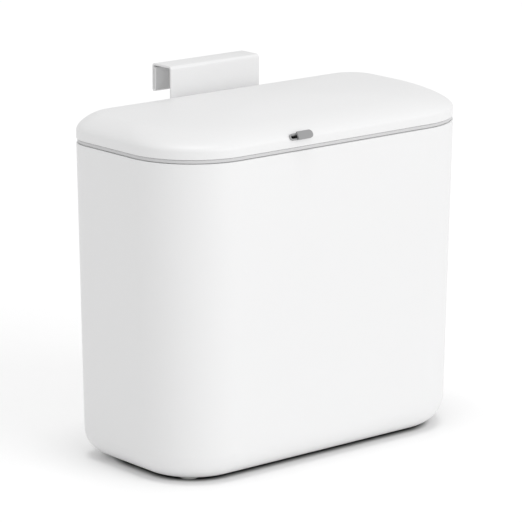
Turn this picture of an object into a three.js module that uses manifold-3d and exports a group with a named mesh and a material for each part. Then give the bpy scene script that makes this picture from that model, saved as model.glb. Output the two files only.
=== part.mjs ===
// Door-hung kitchen waste caddy: a tapered, round-cornered bin with a rear-hinged pebble lid, a sliding
// lid lock, a rim ring that carries the hinge, and a sheet-steel hook that hangs over a cabinet door.
// Millimetres, +Z up, +X to the user's right, the user stands at -Y. The bin is drawn about its own
// centre line and the whole group is then moved so that the origin is the bottom centre of its box.
import * as THREE from 'three';
import { mergeVertices } from 'three/addons/utils/BufferGeometryUtils.js';
import Module from 'manifold-3d';

const wasm = await Module();
wasm.setup();

// ---- Bin body ----
const BIN_WIDTH = 280;
const BIN_DEPTH = 134.8;
const BODY_HEIGHT = 228.9;
const FRONT_CORNER_RADIUS = 53;
const BACK_CORNER_RADIUS = 26;
const BOTTOM_RADIUS = 21;
const SIDE_DRAFT = THREE.MathUtils.degToRad(1.0);
const FRONT_DRAFT = THREE.MathUtils.degToRad(1.42);
const BACK_DRAFT = THREE.MathUtils.degToRad(0.6);
const BODY_WALL = 2.4;
const RIM_EASE = 0.7;

// ---- Fits ----
const SEAT_GAP = 0.3;       // between two faces that rest on each other
const SIDE_GAP = 0.4;       // around a part that drops into another
const PIN_GAP = 0.15;       // radial, round a pin or a screw shank
const ROOT = 0.5;           // how far a lug that is joined on runs into its base
const CUT_OVER = 5;         // how far a cutting shape runs past what it cuts

// ---- Feet and bumpers ----
const FOOT_RADIUS = 7;
const FOOT_PROUD = 1.0;
const FOOT_RECESS = 1.0;
const FOOT_INSET_X = 34;
const FOOT_INSET_Y = 36;
const BUMPER_RADIUS = 9;
const BUMPER_HEIGHT_UP = 46;
const BUMPER_INSET_X = 62;
const BUMPER_RECESS = 0.8;
const BUMPER_TIP_SHARE = 0.78;

// ---- Rim ring ----
const RING_LIP = 2.4;
const RING_SETBACK = 0.8;
const RING_BAND_DEPTH = 8;
const RING_BAND_WIDTH = 11;
const REAR_DECK_WIDTH = 26;
const MOUTH_FRONT_RADIUS = 40;
const MOUTH_BACK_RADIUS = 14;
const REAR_SEAL_THICKNESS = 4;
const REAR_SEAL_RISE = 3;      // above the springing of the lid's dome
const BOSS_RADIUS = 4.8;
const BOSS_LENGTH = 24;
const BOSS_INSET = 4.4;
const PILOT_DEPTH = 12;        // below the band's lower edge
const HEAD_SINK = 0.2;         // a screw's head below the face that it is sunk in

// ---- Lid ----
const LID_WALL = 2.2;
const LID_SKIRT = 5.4;
const SHOULDER_RISE = 11.8;
const SHOULDER_SIDE = 14.6;
const SHOULDER_FRONT = 26;
const SHOULDER_BACK = 9.4;
const SHOULDER_SHAPE = 1.2;   // 1 is a plain ellipse, more is a softer shoulder
const TOP_FRONT_RADIUS = 55;
const TOP_BACK_RADIUS = 19;
const LID_CROWN = 5.0;
const LID_EDGE_EASE = 0.5;
const PANEL_THICKNESS = 2.0;
const PANEL_LIFT = 3.4;
const PANEL_REAR_CLEAR = 3;
const PANEL_NOTCH_LEFT = 8;    // room for the sliding bolt, past the ring's slot
const PANEL_NOTCH_RIGHT = 4;
const GASKET_WIDTH = 2.4;
const GASKET_SETBACK = 1.1;    // from the mouth's edge
const LID_BOSS_RADIUS = 3.6;
const BOSS_CROWN_SHARE = 0.46;  // how much of the crown has risen over the bosses
const LID_BOSS_INSET_X = 58;
const LID_BOSS_INSET_Y = 44;

// ---- Hinge ----
const HINGE_INSET = 10;      // axis ahead of the lid's back face
const HINGE_DROP = 7.2;        // axis below the top of the shoulder
const HINGE_SPREAD = 72;     // centre of each knuckle from the middle
const KNUCKLE_RADIUS = 3.4;
const KNUCKLE_WIDTH = 9;
const EAR_WIDTH = 5;
const PIN_RADIUS = 1.5;
const PIN_HEAD_RADIUS = 2.2;
const PIN_HEAD = 1.0;
const EAR_ROOT_SHARE = 0.6;    // how far the ears run into the roof, of its wall
const EAR_BACK_SHARE = 0.4;    // how far back the ears reach at the roof, of the knuckle's radius

// ---- Lid lock ----
const LOCK_X = -34.5;
const LOCK_LENGTH = 19.6;
const THUMB_HEIGHT = 6;
const BEZEL_HEIGHT = 5;
const LOCK_RAISE = 7.2;      // centre above the lid's bottom edge
const LOCK_TRAVEL = 6;
const BEZEL_PROUD = 0.8;
const BEZEL_BORDER = 1.25;
const LOCK_SCREW_DROP = 0.2; // below the lock's middle
const LID_OPENING_INSET = 1.0;
const END_FLAT = 0.05;       // what is left straight at the lock's round ends
const THUMB_LENGTH = 13.6;
const THUMB_PROUD = 1.7;
const NECK_REACH = 3.3;      // of the thumb's neck, behind the lid's wall
const PAD_RISE = 1;          // of the thumb's pad above its screw
const PAD_LAP = 0.75;        // of the pad over the neck
const BOLT_LEG_WIDTH = 8;
const BOLT_LEG_DEPTH = 2.4;
const BOLT_FOOT = 4.6;
const BOLT_FOOT_HEIGHT = 2.6;
const BOLT_SETBACK = 3.7;    // from the lid's inner face to the bolt's leg
const BOLT_END_INSET = 3;    // from the lock's right end to the leg's
const BOLT_HANG = 1.2;       // of the bolt's foot below the ring's band
const BOLT_TOP_RISE = 2.1;   // of the leg above the lock's middle
const NECK_INSET = 1;        // of the thumb's neck from the leg's sides
const SLOT_ENDS = 1;         // room round the bolt in the ring
const SLOT_FRONT = 2.6;
const SLOT_BACK = 0.8;
const KEEPER_THICKNESS = 1.0;
const KEEPER_DEPTH = 7.4;
const KEEPER_LENGTH = 34;
const KEEPER_SCREW_MARGIN = 3.6;
const KEEPER_HEAD_CLEAR = 0.1;  // under the flush heads
const KEEPER_LAP = { left: 1, right: 0.3, front: 0.4, back: 0.2 };   // over the ring's slot

// ---- Door hook ----
const HOOK_WIDTH = 82.4;
const HOOK_RISE = 40.7;      // top of the hook above the bin's rim
const HOOK_DEPTH = 21.8;
const HOOK_SHEET = 1.4;
const HOOK_BEND = 2.4;
const HOOK_BACK_DROP = 20.5;
const HOOK_LEG_DROP = 43.9;  // lower end of the front leg below the rim
const HEM_GAP = 1.0;
const HEM_TOP_GAP = 1.6;
const DOOR_PAD_THICKNESS = 3.0;
const DOOR_PAD_RISE = 18.1;  // top of the pad above the rim
const DOOR_PAD_CORNER = 3;
const NUT_POCKET_ROOM = 2;   // round the nut's flats, in the pad
const DOOR_PAD_BORDER = 1.5;
const PLINTH_PROUD = 0.3;
const PLINTH_BORDER = 4;
const PLINTH_RIM_CLEAR = 3;
const PLINTH_ROOT_SHARE = 0.6;  // how far the plinth runs into the wall
const HOOK_SCREW_SPREAD = 25;
const HOOK_SCREW_DROP = 25.9;  // below the rim
const HOOK_SCREW_RADIUS = 2;
const NUT_WIDTH = 7;
const NUT_THICKNESS = 2.2;
const WASHER_RADIUS = 4.5;
const WASHER_THICKNESS = 0.8;
const THREAD_END = 0.6;      // of the hook's screw past its nut

// ---- Mesh fineness ----
const CORNER_STEPS = 9;
const SHOULDER_STEPS = 7;
const SWING_SIDES = 48;
const ROUND_SIDES = 18;
const CROWN_SCALES = [0.88, 0.6, 0.25];
const SCREW_SIDES = 12;

// ---- Heights and planes worked out from the sizes above ----
const BODY_BOTTOM = FOOT_PROUD;
const RIM_Z = BODY_BOTTOM + BODY_HEIGHT;
const RING_BOTTOM = RIM_Z + SEAT_GAP;
const RING_TOP = RING_BOTTOM + RING_LIP;
const BAND_BOTTOM = RING_TOP - RING_BAND_DEPTH;
const LID_BOTTOM = RING_TOP + SEAT_GAP;
const SPRINGING = LID_BOTTOM + LID_SKIRT;
const SHOULDER_TOP = SPRINGING + SHOULDER_RISE;
const PANEL_BOTTOM = LID_BOTTOM + PANEL_LIFT;
const PANEL_TOP = PANEL_BOTTOM + PANEL_THICKNESS;
const FRONT_Y = -BIN_DEPTH / 2;
const BACK_Y = BIN_DEPTH / 2;
const HINGE_Y = BACK_Y - HINGE_INSET;
const HINGE_Z = SHOULDER_TOP - HINGE_DROP;
const LID_CUT_RADIUS = HINGE_Z - LID_BOTTOM;
const MOUTH_BACK = BACK_Y - REAR_DECK_WIDTH;
const HOOK_FRONT_Y = BACK_Y + PLINTH_PROUD + SEAT_GAP;
const HOOK_BACK_Y = HOOK_FRONT_Y + HOOK_DEPTH;
const DOOR_FACE_Y = HOOK_FRONT_Y + HOOK_SHEET + SEAT_GAP + DOOR_PAD_THICKNESS;
const LOCK_Z = LID_BOTTOM + LOCK_RAISE;
const HOOK_TOP = RIM_Z + HOOK_RISE;
const HOOK_LEG_BOTTOM = RIM_Z - HOOK_LEG_DROP;
const HOOK_SCREW_Z = RIM_Z - HOOK_SCREW_DROP;
const DOOR_PAD_TOP = RIM_Z + DOOR_PAD_RISE;

// How far the lid's front has drawn back from the bin's front face at a height.
function shoulderInset(z) {
  const lift = THREE.MathUtils.clamp((z - SPRINGING) / SHOULDER_RISE, 0, 1);
  const sine = lift ** (1 / SHOULDER_SHAPE);
  return SHOULDER_FRONT * (1 - (1 - sine * sine) ** (SHOULDER_SHAPE / 2));
}

// The lock lies on the lid's shoulder, leaning back with it.
const LEAN_SPAN = 2;
const LEAN_RUN = shoulderInset(LOCK_Z + LEAN_SPAN) - shoulderInset(LOCK_Z - LEAN_SPAN);
const LOCK_LEAN = Math.atan2(LEAN_RUN, LEAN_SPAN * 2);
const LOCK_Y = FRONT_Y + shoulderInset(LOCK_Z);
const THUMB_BACK = -SEAT_GAP - BEZEL_PROUD - SEAT_GAP;
const THUMB_FACE = THUMB_BACK - THUMB_PROUD;
const THUMB_FRONT_Y = LOCK_Y + THUMB_FACE * Math.cos(LOCK_LEAN) - THUMB_HEIGHT / 2 * Math.sin(LOCK_LEAN);
const GROUP_Y = -(Math.min(THUMB_FRONT_Y, FRONT_Y) + HOOK_BACK_Y) / 2;

// ---- Materials ----
function finish(color, roughness, metalness) {
  return new THREE.MeshStandardMaterial({ color, roughness, metalness });
}
const whitePlastic = () => finish(0xf4f4f3, 0.42, 0);
const greyPlastic = () => finish(0xc9caca, 0.5, 0);
const lockGrey = () => finish(0x9c9c9d, 0.45, 0);
const darkPlastic = () => finish(0x4b4c4e, 0.5, 0);
const whiteSteel = () => finish(0xefefee, 0.38, 0.1);
const zincSteel = () => finish(0xb4b7ba, 0.35, 0.9);
const softRubber = () => finish(0xd8d8d6, 0.85, 0);
const greyFoam = () => finish(0xbfbfbd, 0.95, 0);

// ---- Solid helpers ----
function solid(geometry) {
  const bare = geometry.index ? geometry.toNonIndexed() : geometry.clone();
  bare.deleteAttribute('normal');
  bare.deleteAttribute('uv');
  const merged = mergeVertices(bare, 1e-4);
  return new wasm.Manifold(new wasm.Mesh({
    numProp: 3,
    vertProperties: new Float32Array(merged.attributes.position.array),
    triVerts: new Uint32Array(merged.index.array),
  }));
}

function geometryOf(manifold) {
  const mesh = manifold.getMesh();
  const geometry = new THREE.BufferGeometry();
  geometry.setAttribute('position', new THREE.BufferAttribute(new Float32Array(mesh.vertProperties), 3));
  geometry.setIndex(new THREE.BufferAttribute(new Uint32Array(mesh.triVerts), 1));
  geometry.computeVertexNormals();
  return geometry;
}

const join = (base, ...others) => others.reduce((whole, other) => whole.add(solid(other)), base);
const cut = (base, ...tools) => tools.reduce((whole, tool) => whole.subtract(solid(tool)), base);

// A closed convex outline: straight sides between four corner arcs. Points run anticlockwise.
function outline(halfWidth, frontY, backY, frontRadius, backRadius) {
  const corners = [
    [halfWidth - backRadius, backY - backRadius, backRadius],
    [-halfWidth + backRadius, backY - backRadius, backRadius],
    [-halfWidth + frontRadius, frontY + frontRadius, frontRadius],
    [halfWidth - frontRadius, frontY + frontRadius, frontRadius],
  ];
  const points = [];
  corners.forEach(([x, y, radius], quarter) => {
    for (let step = 0; step <= CORNER_STEPS; step += 1) {
      const angle = (quarter + step / CORNER_STEPS) * Math.PI / 2;
      points.push(new THREE.Vector2(x + radius * Math.cos(angle), y + radius * Math.sin(angle)));
    }
  });
  return points;
}

// The bin's own outline at the rim, moved inwards by one inset all round.
const rimOutline = (inset) => outline(
  BIN_WIDTH / 2 - inset,
  FRONT_Y + inset,
  BACK_Y - inset,
  Math.max(FRONT_CORNER_RADIUS - inset, 1),
  Math.max(BACK_CORNER_RADIUS - inset, 1),
);

// Skins a chain of equal-length outlines and closes its first and last outline.
function loft(rings) {
  const count = rings[0].points.length;
  const positions = rings.flatMap(({ points, z }) => points.flatMap((p) => [p.x, p.y, z]));
  const index = [];
  for (let ring = 0; ring < rings.length - 1; ring += 1) {
    for (let step = 0; step < count; step += 1) {
      const a = ring * count + step;
      const b = ring * count + (step + 1) % count;
      index.push(a, b, b + count, a, b + count, a + count);
    }
  }
  const last = (rings.length - 1) * count;
  for (let step = 1; step < count - 1; step += 1) {
    index.push(0, step + 1, step);
    index.push(last, last + step, last + step + 1);
  }
  const geometry = new THREE.BufferGeometry();
  geometry.setAttribute('position', new THREE.Float32BufferAttribute(positions, 3));
  geometry.setIndex(index);
  return geometry;
}

const block = (x0, x1, y0, y1, z0, z1) => new THREE.BoxGeometry(x1 - x0, y1 - y0, z1 - z0)
  .translate((x0 + x1) / 2, (y0 + y1) / 2, (z0 + z1) / 2);

// Round bars along each axis, between two stations on it.
function barZ(radius, x, y, z0, z1, sides = ROUND_SIDES) {
  return new THREE.CylinderGeometry(radius, radius, z1 - z0, sides)
    .rotateX(Math.PI / 2).translate(x, y, (z0 + z1) / 2);
}
function barY(radius, x, z, y0, y1, sides = ROUND_SIDES) {
  return new THREE.CylinderGeometry(radius, radius, y1 - y0, sides).translate(x, (y0 + y1) / 2, z);
}
function barX(radius, y, z, x0, x1, sides = ROUND_SIDES) {
  return new THREE.CylinderGeometry(radius, radius, x1 - x0, sides)
    .rotateZ(Math.PI / 2).translate((x0 + x1) / 2, y, z);
}

// Extrudes a shape drawn on (x, y) upwards between two heights.
const prismZ = (shape, z0, z1, curveSegments = CORNER_STEPS) => new THREE.ExtrudeGeometry(
  shape, { depth: z1 - z0, bevelEnabled: false, curveSegments }).translate(0, 0, z0);

// Extrudes a shape drawn on (x, z) between two y stations.
function prismY(shape, y0, y1, curveSegments = 8) {
  const turn = new THREE.Matrix4().makeBasis(
    new THREE.Vector3(1, 0, 0), new THREE.Vector3(0, 0, 1), new THREE.Vector3(0, -1, 0));
  return new THREE.ExtrudeGeometry(shape, { depth: y1 - y0, bevelEnabled: false, curveSegments })
    .applyMatrix4(turn).translate(0, y1, 0);
}

// Extrudes a shape drawn on (y, z) between two x stations.
function prismX(shape, x0, x1, curveSegments = 6) {
  const turn = new THREE.Matrix4().makeBasis(
    new THREE.Vector3(0, 1, 0), new THREE.Vector3(0, 0, 1), new THREE.Vector3(1, 0, 0));
  return new THREE.ExtrudeGeometry(shape, { depth: x1 - x0, bevelEnabled: false, curveSegments })
    .applyMatrix4(turn).translate(x0, 0, 0);
}

function roundedRectangle(x0, x1, y0, y1, radius) {
  const shape = new THREE.Shape();
  shape.moveTo(x0 + radius, y0);
  shape.lineTo(x1 - radius, y0);
  shape.absarc(x1 - radius, y0 + radius, radius, -Math.PI / 2, 0);
  shape.lineTo(x1, y1 - radius);
  shape.absarc(x1 - radius, y1 - radius, radius, 0, Math.PI / 2);
  shape.lineTo(x0 + radius, y1);
  shape.absarc(x0 + radius, y1 - radius, radius, Math.PI / 2, Math.PI);
  shape.lineTo(x0, y0 + radius);
  shape.absarc(x0 + radius, y0 + radius, radius, Math.PI, Math.PI * 1.5);
  return shape;
}

// Shares of a screw's own radii and heights: tip, head and the cross recess in it.
const SCREW = { tip: 0.5, edge: 0.45, crown: 0.72, recess: 0.62, recessHalf: 0.13, recessDepth: 0.55 };

// A screw with its head's underside at z = 0, head up, and a cross recess in the head.
function screwGeometry({ headRadius, headHeight, shankRadius, length }) {
  const profile = new THREE.Path();
  profile.moveTo(0, -length);
  profile.lineTo(shankRadius * SCREW.tip, -length);
  profile.lineTo(shankRadius, -length + shankRadius);
  profile.lineTo(shankRadius, 0);
  profile.lineTo(headRadius, 0);
  profile.lineTo(headRadius, headHeight * SCREW.edge);
  profile.lineTo(headRadius * SCREW.crown, headHeight);
  profile.lineTo(0, headHeight);
  const turned = new THREE.LatheGeometry(profile.getPoints(), SCREW_SIDES).rotateX(Math.PI / 2);
  const slot = headRadius * SCREW.recess;
  const half = headRadius * SCREW.recessHalf;
  const depth = headHeight * SCREW.recessDepth;
  return geometryOf(cut(
    solid(turned),
    block(-slot, slot, -half, half, headHeight - depth, headHeight + CUT_OVER),
    block(-half, half, -slot, slot, headHeight - depth, headHeight + CUT_OVER),
  ));
}

const model = new THREE.Group();
model.position.set(0, GROUP_Y, 0);

function place(name, geometry, material, position = [0, 0, 0], turn = [0, 0, 0]) {
  const mesh = new THREE.Mesh(geometry, material);
  mesh.name = name;
  mesh.position.set(...position);
  mesh.rotation.set(...turn);
  model.add(mesh);
  return mesh;
}

// ---- Bin body ----
// The tapered outline at a drop below the rim, moved in by the wall or by the bottom rounding.
function bodyOutline(drop, inset) {
  const side = Math.tan(SIDE_DRAFT) * drop + inset;
  const front = Math.tan(FRONT_DRAFT) * drop + inset;
  const back = Math.tan(BACK_DRAFT) * drop + inset;
  return outline(
    BIN_WIDTH / 2 - side,
    FRONT_Y + front,
    BACK_Y - back,
    Math.max(FRONT_CORNER_RADIUS - (side + front) / 2, 2),
    Math.max(BACK_CORNER_RADIUS - (side + back) / 2, 2),
  );
}

function bottomRings(radius, floorZ, wall) {
  const rings = [];
  for (let step = 0; step <= SHOULDER_STEPS; step += 1) {
    const angle = step / SHOULDER_STEPS * Math.PI / 2;
    const z = floorZ + radius * (1 - Math.cos(angle));
    const inset = radius * (1 - Math.sin(angle)) + wall;
    rings.push({ points: bodyOutline(RIM_Z - z, inset), z });
  }
  return rings;
}

const ringScrewPlaces = () => {
  const sideX = BIN_WIDTH / 2 - BODY_WALL - BOSS_INSET;
  const frontY = FRONT_Y + BODY_WALL + BOSS_INSET;
  const backY = BACK_Y - BODY_WALL - BOSS_INSET;
  const frontX = BIN_WIDTH / 2 - FRONT_CORNER_RADIUS - BOSS_RADIUS;
  const backX = BIN_WIDTH / 2 - BACK_CORNER_RADIUS - BOSS_RADIUS;
  return [[frontX, frontY], [-frontX, frontY], [sideX, 0], [-sideX, 0], [backX, backY], [-backX, backY]];
};
const RING_SCREW = { headRadius: 3, headHeight: 1.8, shankRadius: 1.4, length: 12 };
const COUNTERBORE_DEPTH = RING_SCREW.headHeight + SEAT_GAP + HEAD_SINK;

const footPlaces = () => {
  const x = BIN_WIDTH / 2 - FOOT_INSET_X;
  const y = BIN_DEPTH / 2 - FOOT_INSET_Y;
  return [[x, y], [-x, y], [x, -y], [-x, -y]];
};
const bumperPlaces = () => [BIN_WIDTH / 2 - BUMPER_INSET_X, -BIN_WIDTH / 2 + BUMPER_INSET_X];
const backFaceY = (z) => BACK_Y - Math.tan(BACK_DRAFT) * (RIM_Z - z);

function hookPlinth() {
  const half = HOOK_WIDTH / 2 + PLINTH_BORDER;
  const shape = roundedRectangle(
    -half, half, HOOK_LEG_BOTTOM - PLINTH_BORDER, RIM_Z - PLINTH_RIM_CLEAR, PLINTH_BORDER);
  return prismY(shape, BACK_Y - BODY_WALL * PLINTH_ROOT_SHARE, BACK_Y + PLINTH_PROUD, 4);
}

function bodyGeometry() {
  const outer = bottomRings(BOTTOM_RADIUS, BODY_BOTTOM, 0);
  outer.push({ points: bodyOutline(RIM_EASE, 0), z: RIM_Z - RIM_EASE });
  outer.push({ points: bodyOutline(0, RIM_EASE * 0.3), z: RIM_Z - RIM_EASE * 0.3 });
  outer.push({ points: bodyOutline(0, RIM_EASE), z: RIM_Z });
  const inner = bottomRings(BOTTOM_RADIUS - BODY_WALL, BODY_BOTTOM + BODY_WALL, BODY_WALL).reverse();
  inner.unshift({ points: bodyOutline(0, BODY_WALL), z: RIM_Z });
  const shell = solid(loft([...outer, ...inner]));
  const bosses = ringScrewPlaces().map(([x, y]) => barZ(
    BOSS_RADIUS, x, y, BAND_BOTTOM - SEAT_GAP - BOSS_LENGTH, BAND_BOTTOM - SEAT_GAP));
  const pilots = ringScrewPlaces().map(([x, y]) => barZ(
    RING_SCREW.shankRadius + PIN_GAP, x, y, BAND_BOTTOM - PILOT_DEPTH, BAND_BOTTOM + CUT_OVER, SCREW_SIDES));
  const footSeats = footPlaces().map(([x, y]) => barZ(
    FOOT_RADIUS + SEAT_GAP, x, y, BODY_BOTTOM - CUT_OVER, BODY_BOTTOM + FOOT_RECESS + SEAT_GAP));
  const bumperSeats = bumperPlaces().map((x) => barY(
    BUMPER_RADIUS + SEAT_GAP, x, BUMPER_HEIGHT_UP,
    backFaceY(BUMPER_HEIGHT_UP) - BUMPER_RECESS - SEAT_GAP, BACK_Y + CUT_OVER));
  const hookHoles = [-HOOK_SCREW_SPREAD, HOOK_SCREW_SPREAD].map((x) => barY(
    HOOK_SCREW_RADIUS + PIN_GAP, x, HOOK_SCREW_Z,
    backFaceY(HOOK_SCREW_Z) - BODY_WALL - CUT_OVER, BACK_Y + CUT_OVER));
  const whole = join(shell, ...bosses, hookPlinth());
  return geometryOf(cut(whole, ...pilots, ...footSeats, ...bumperSeats, ...hookHoles));
}

function addBody() {
  place('bin_body', bodyGeometry(), whitePlastic());
  footPlaces().forEach(([x, y], number) => {
    const foot = barZ(FOOT_RADIUS, x, y, 0, BODY_BOTTOM + FOOT_RECESS);
    place(`foot_${number + 1}`, foot, softRubber());
  });
  bumperPlaces().forEach((x, number) => {
    const base = backFaceY(BUMPER_HEIGHT_UP) - BUMPER_RECESS;
    const length = DOOR_FACE_Y - base;
    const tip = BUMPER_RADIUS * BUMPER_TIP_SHARE;
    const cone = new THREE.CylinderGeometry(tip, BUMPER_RADIUS, length, ROUND_SIDES)
      .translate(x, base + length / 2, BUMPER_HEIGHT_UP);
    place(`door_bumper_${number + 1}`, cone, softRubber());
  });
}

// ---- Lid lock places shared by the lid, the ring and the keeper ----
const BOLT_Y0 = LOCK_Y + LID_WALL + BOLT_SETBACK;
const BOLT_Y1 = BOLT_Y0 + BOLT_LEG_DEPTH;
const BOLT_X1 = LOCK_X + LOCK_LENGTH / 2 - BOLT_END_INSET;
const BOLT_X0 = BOLT_X1 - BOLT_LEG_WIDTH;
const BOLT_BOTTOM = BAND_BOTTOM - SEAT_GAP - BOLT_FOOT_HEIGHT - BOLT_HANG;
const BOLT_SLOT = {
  x0: BOLT_X0 - Math.max(BOLT_FOOT, LOCK_TRAVEL) - SLOT_ENDS,
  x1: BOLT_X1 + SLOT_ENDS,
  y0: BOLT_Y0 - SLOT_FRONT,
  y1: BOLT_Y1 + SLOT_BACK,
};
const KEEPER_X0 = (BOLT_SLOT.x0 + BOLT_SLOT.x1) / 2 - KEEPER_LENGTH / 2;
const KEEPER_X1 = KEEPER_X0 + KEEPER_LENGTH;
const KEEPER_Y0 = (BOLT_SLOT.y0 + BOLT_SLOT.y1) / 2 - KEEPER_DEPTH / 2;
const KEEPER_Y1 = KEEPER_Y0 + KEEPER_DEPTH;
const KEEPER_HEAD_SEAT = RING_TOP - KEEPER_THICKNESS / 2;
const KEEPER_SCREW = {
  headRadius: 1.9, headHeight: KEEPER_THICKNESS / 2 - KEEPER_HEAD_CLEAR, shankRadius: 0.9, length: 5,
};
const keeperScrewPlaces = () => {
  const y = (KEEPER_Y0 + KEEPER_Y1) / 2;
  return [[KEEPER_X0 + KEEPER_SCREW_MARGIN, y], [KEEPER_X1 - KEEPER_SCREW_MARGIN, y]];
};

// ---- Rim ring ----
const mouthOutline = (inset) => outline(
  BIN_WIDTH / 2 - BODY_WALL - SIDE_GAP - RING_BAND_WIDTH + inset,
  FRONT_Y + BODY_WALL + SIDE_GAP + RING_BAND_WIDTH - inset,
  MOUTH_BACK + inset,
  MOUTH_FRONT_RADIUS + inset,
  MOUTH_BACK_RADIUS + inset,
);

function ringShape(edge, hole) {
  const shape = new THREE.Shape(edge);
  shape.holes.push(new THREE.Path(hole));
  return shape;
}

const knuckleCentres = [-HINGE_SPREAD, HINGE_SPREAD];
// From a tower's middle to its ears' outer faces.
const HINGE_REACH = KNUCKLE_WIDTH / 2 + SIDE_GAP + EAR_WIDTH;

// The hinge tower that stands on the ring's rear deck.
function tower(centre) {
  const profile = new THREE.Shape();
  profile.moveTo(HINGE_Y - KNUCKLE_RADIUS, RING_TOP - ROOT);
  profile.lineTo(HINGE_Y + KNUCKLE_RADIUS, RING_TOP - ROOT);
  profile.lineTo(HINGE_Y + KNUCKLE_RADIUS, HINGE_Z);
  profile.absarc(HINGE_Y, HINGE_Z, KNUCKLE_RADIUS, 0, Math.PI);
  return prismX(profile, centre - KNUCKLE_WIDTH / 2, centre + KNUCKLE_WIDTH / 2, 10);
}

// The low seal wall along the back: follows the ring's edge, hollowed to the lid's swing.
function rearSeal() {
  const top = SPRINGING + REAR_SEAL_RISE;
  const wall = solid(prismZ(
    ringShape(rimOutline(RING_SETBACK), rimOutline(RING_SETBACK + REAR_SEAL_THICKNESS)),
    RING_TOP - ROOT, top));
  const wide = BIN_WIDTH;
  const behindHinge = block(-wide, wide, HINGE_Y + SEAT_GAP, BACK_Y + CUT_OVER, RING_BOTTOM, top + CUT_OVER);
  const kept = wall.intersect(solid(behindHinge));
  return cut(kept, barX(LID_CUT_RADIUS + SEAT_GAP, HINGE_Y, HINGE_Z, -wide, wide, SWING_SIDES));
}

function ringGeometry() {
  const hole = mouthOutline(0);
  const lip = solid(prismZ(ringShape(rimOutline(RING_SETBACK), hole), RING_BOTTOM, RING_TOP));
  const band = prismZ(ringShape(rimOutline(BODY_WALL + SIDE_GAP), hole), BAND_BOTTOM, RING_TOP - ROOT);
  const whole = join(lip, band, ...knuckleCentres.map(tower)).add(rearSeal());
  const heads = ringScrewPlaces().map(([x, y]) => barZ(
    RING_SCREW.headRadius + SIDE_GAP, x, y, RING_TOP - COUNTERBORE_DEPTH, RING_TOP + CUT_OVER));
  const shanks = ringScrewPlaces().map(([x, y]) => barZ(
    RING_SCREW.shankRadius + PIN_GAP, x, y, BAND_BOTTOM - CUT_OVER, RING_TOP, SCREW_SIDES));
  const pinHoles = knuckleCentres.map((x) => barX(
    PIN_RADIUS + PIN_GAP, HINGE_Y, HINGE_Z, x - KNUCKLE_WIDTH, x + KNUCKLE_WIDTH, ROUND_SIDES));
  const slot = block(BOLT_SLOT.x0, BOLT_SLOT.x1, BOLT_SLOT.y0, BOLT_SLOT.y1,
    BAND_BOTTOM - CUT_OVER, RING_TOP + CUT_OVER);
  const keeperSeat = block(
    KEEPER_X0 - SEAT_GAP, KEEPER_X1 + SEAT_GAP, KEEPER_Y0 - SEAT_GAP, KEEPER_Y1 + SEAT_GAP,
    RING_TOP - KEEPER_THICKNESS - SEAT_GAP, RING_TOP + CUT_OVER);
  const keeperPilots = keeperScrewPlaces().map(([x, y]) => barZ(
    KEEPER_SCREW.shankRadius + PIN_GAP, x, y, BAND_BOTTOM - CUT_OVER, RING_TOP, SCREW_SIDES));
  return geometryOf(cut(whole, ...heads, ...shanks, ...pinHoles, slot, keeperSeat, ...keeperPilots));
}

function addRing() {
  place('rim_ring', ringGeometry(), greyPlastic());
  ringScrewPlaces().forEach(([x, y], number) => {
    const z = RING_TOP - COUNTERBORE_DEPTH + SEAT_GAP;
    place(`ring_screw_${number + 1}`, screwGeometry(RING_SCREW), zincSteel(), [x, y, z]);
  });
  const plate = solid(block(
    KEEPER_X0, KEEPER_X1, KEEPER_Y0, KEEPER_Y1, RING_TOP - KEEPER_THICKNESS, RING_TOP));
  const holes = keeperScrewPlaces().map(([x, y]) => barZ(
    KEEPER_SCREW.shankRadius + PIN_GAP, x, y, RING_TOP - CUT_OVER, RING_TOP + CUT_OVER, SCREW_SIDES));
  const seats = keeperScrewPlaces().map(([x, y]) => barZ(
    KEEPER_SCREW.headRadius + PIN_GAP, x, y, KEEPER_HEAD_SEAT, RING_TOP + CUT_OVER));
  const slot = block(
    BOLT_SLOT.x0 + KEEPER_LAP.left, BOLT_SLOT.x1 - KEEPER_LAP.right,
    BOLT_SLOT.y0 + KEEPER_LAP.front, BOLT_SLOT.y1 - KEEPER_LAP.back,
    RING_TOP - CUT_OVER, RING_TOP + CUT_OVER);
  place('lock_keeper', geometryOf(cut(plate, ...holes, ...seats, slot)), zincSteel());
  keeperScrewPlaces().forEach(([x, y], number) => {
    const z = RING_TOP - KEEPER_SCREW.headHeight;
    place(`keeper_screw_${number + 1}`, screwGeometry(KEEPER_SCREW), zincSteel(), [x, y, z]);
  });
}

// ---- Hinge pins: headed pins pressed through tower and ears ----
function addHingePins() {
  knuckleCentres.forEach((centre, number) => {
    const outward = Math.sign(centre);
    const headAt = centre + outward * (HINGE_REACH + SEAT_GAP);
    const headEnd = headAt + outward * PIN_HEAD;
    const shank = solid(barX(PIN_RADIUS, HINGE_Y, HINGE_Z, centre - HINGE_REACH, centre + HINGE_REACH));
    const between = (first, second) => [Math.min(first, second), Math.max(first, second)];
    const neck = barX(PIN_RADIUS, HINGE_Y, HINGE_Z, ...between(centre, headEnd));
    const head = barX(PIN_HEAD_RADIUS, HINGE_Y, HINGE_Z, ...between(headAt, headEnd));
    place(`hinge_pin_${number + 1}`, geometryOf(join(shank, neck, head)), zincSteel());
  });
}

// ---- Lid ----
function shoulderOutline(share, wall) {
  const backRadius = THREE.MathUtils.lerp(BACK_CORNER_RADIUS, TOP_BACK_RADIUS, share);
  const frontRadius = THREE.MathUtils.lerp(FRONT_CORNER_RADIUS, TOP_FRONT_RADIUS, share);
  return outline(
    BIN_WIDTH / 2 - SHOULDER_SIDE * share - wall,
    FRONT_Y + SHOULDER_FRONT * share + wall,
    BACK_Y - SHOULDER_BACK * share - wall,
    frontRadius - wall,
    backRadius - wall,
  );
}

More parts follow.
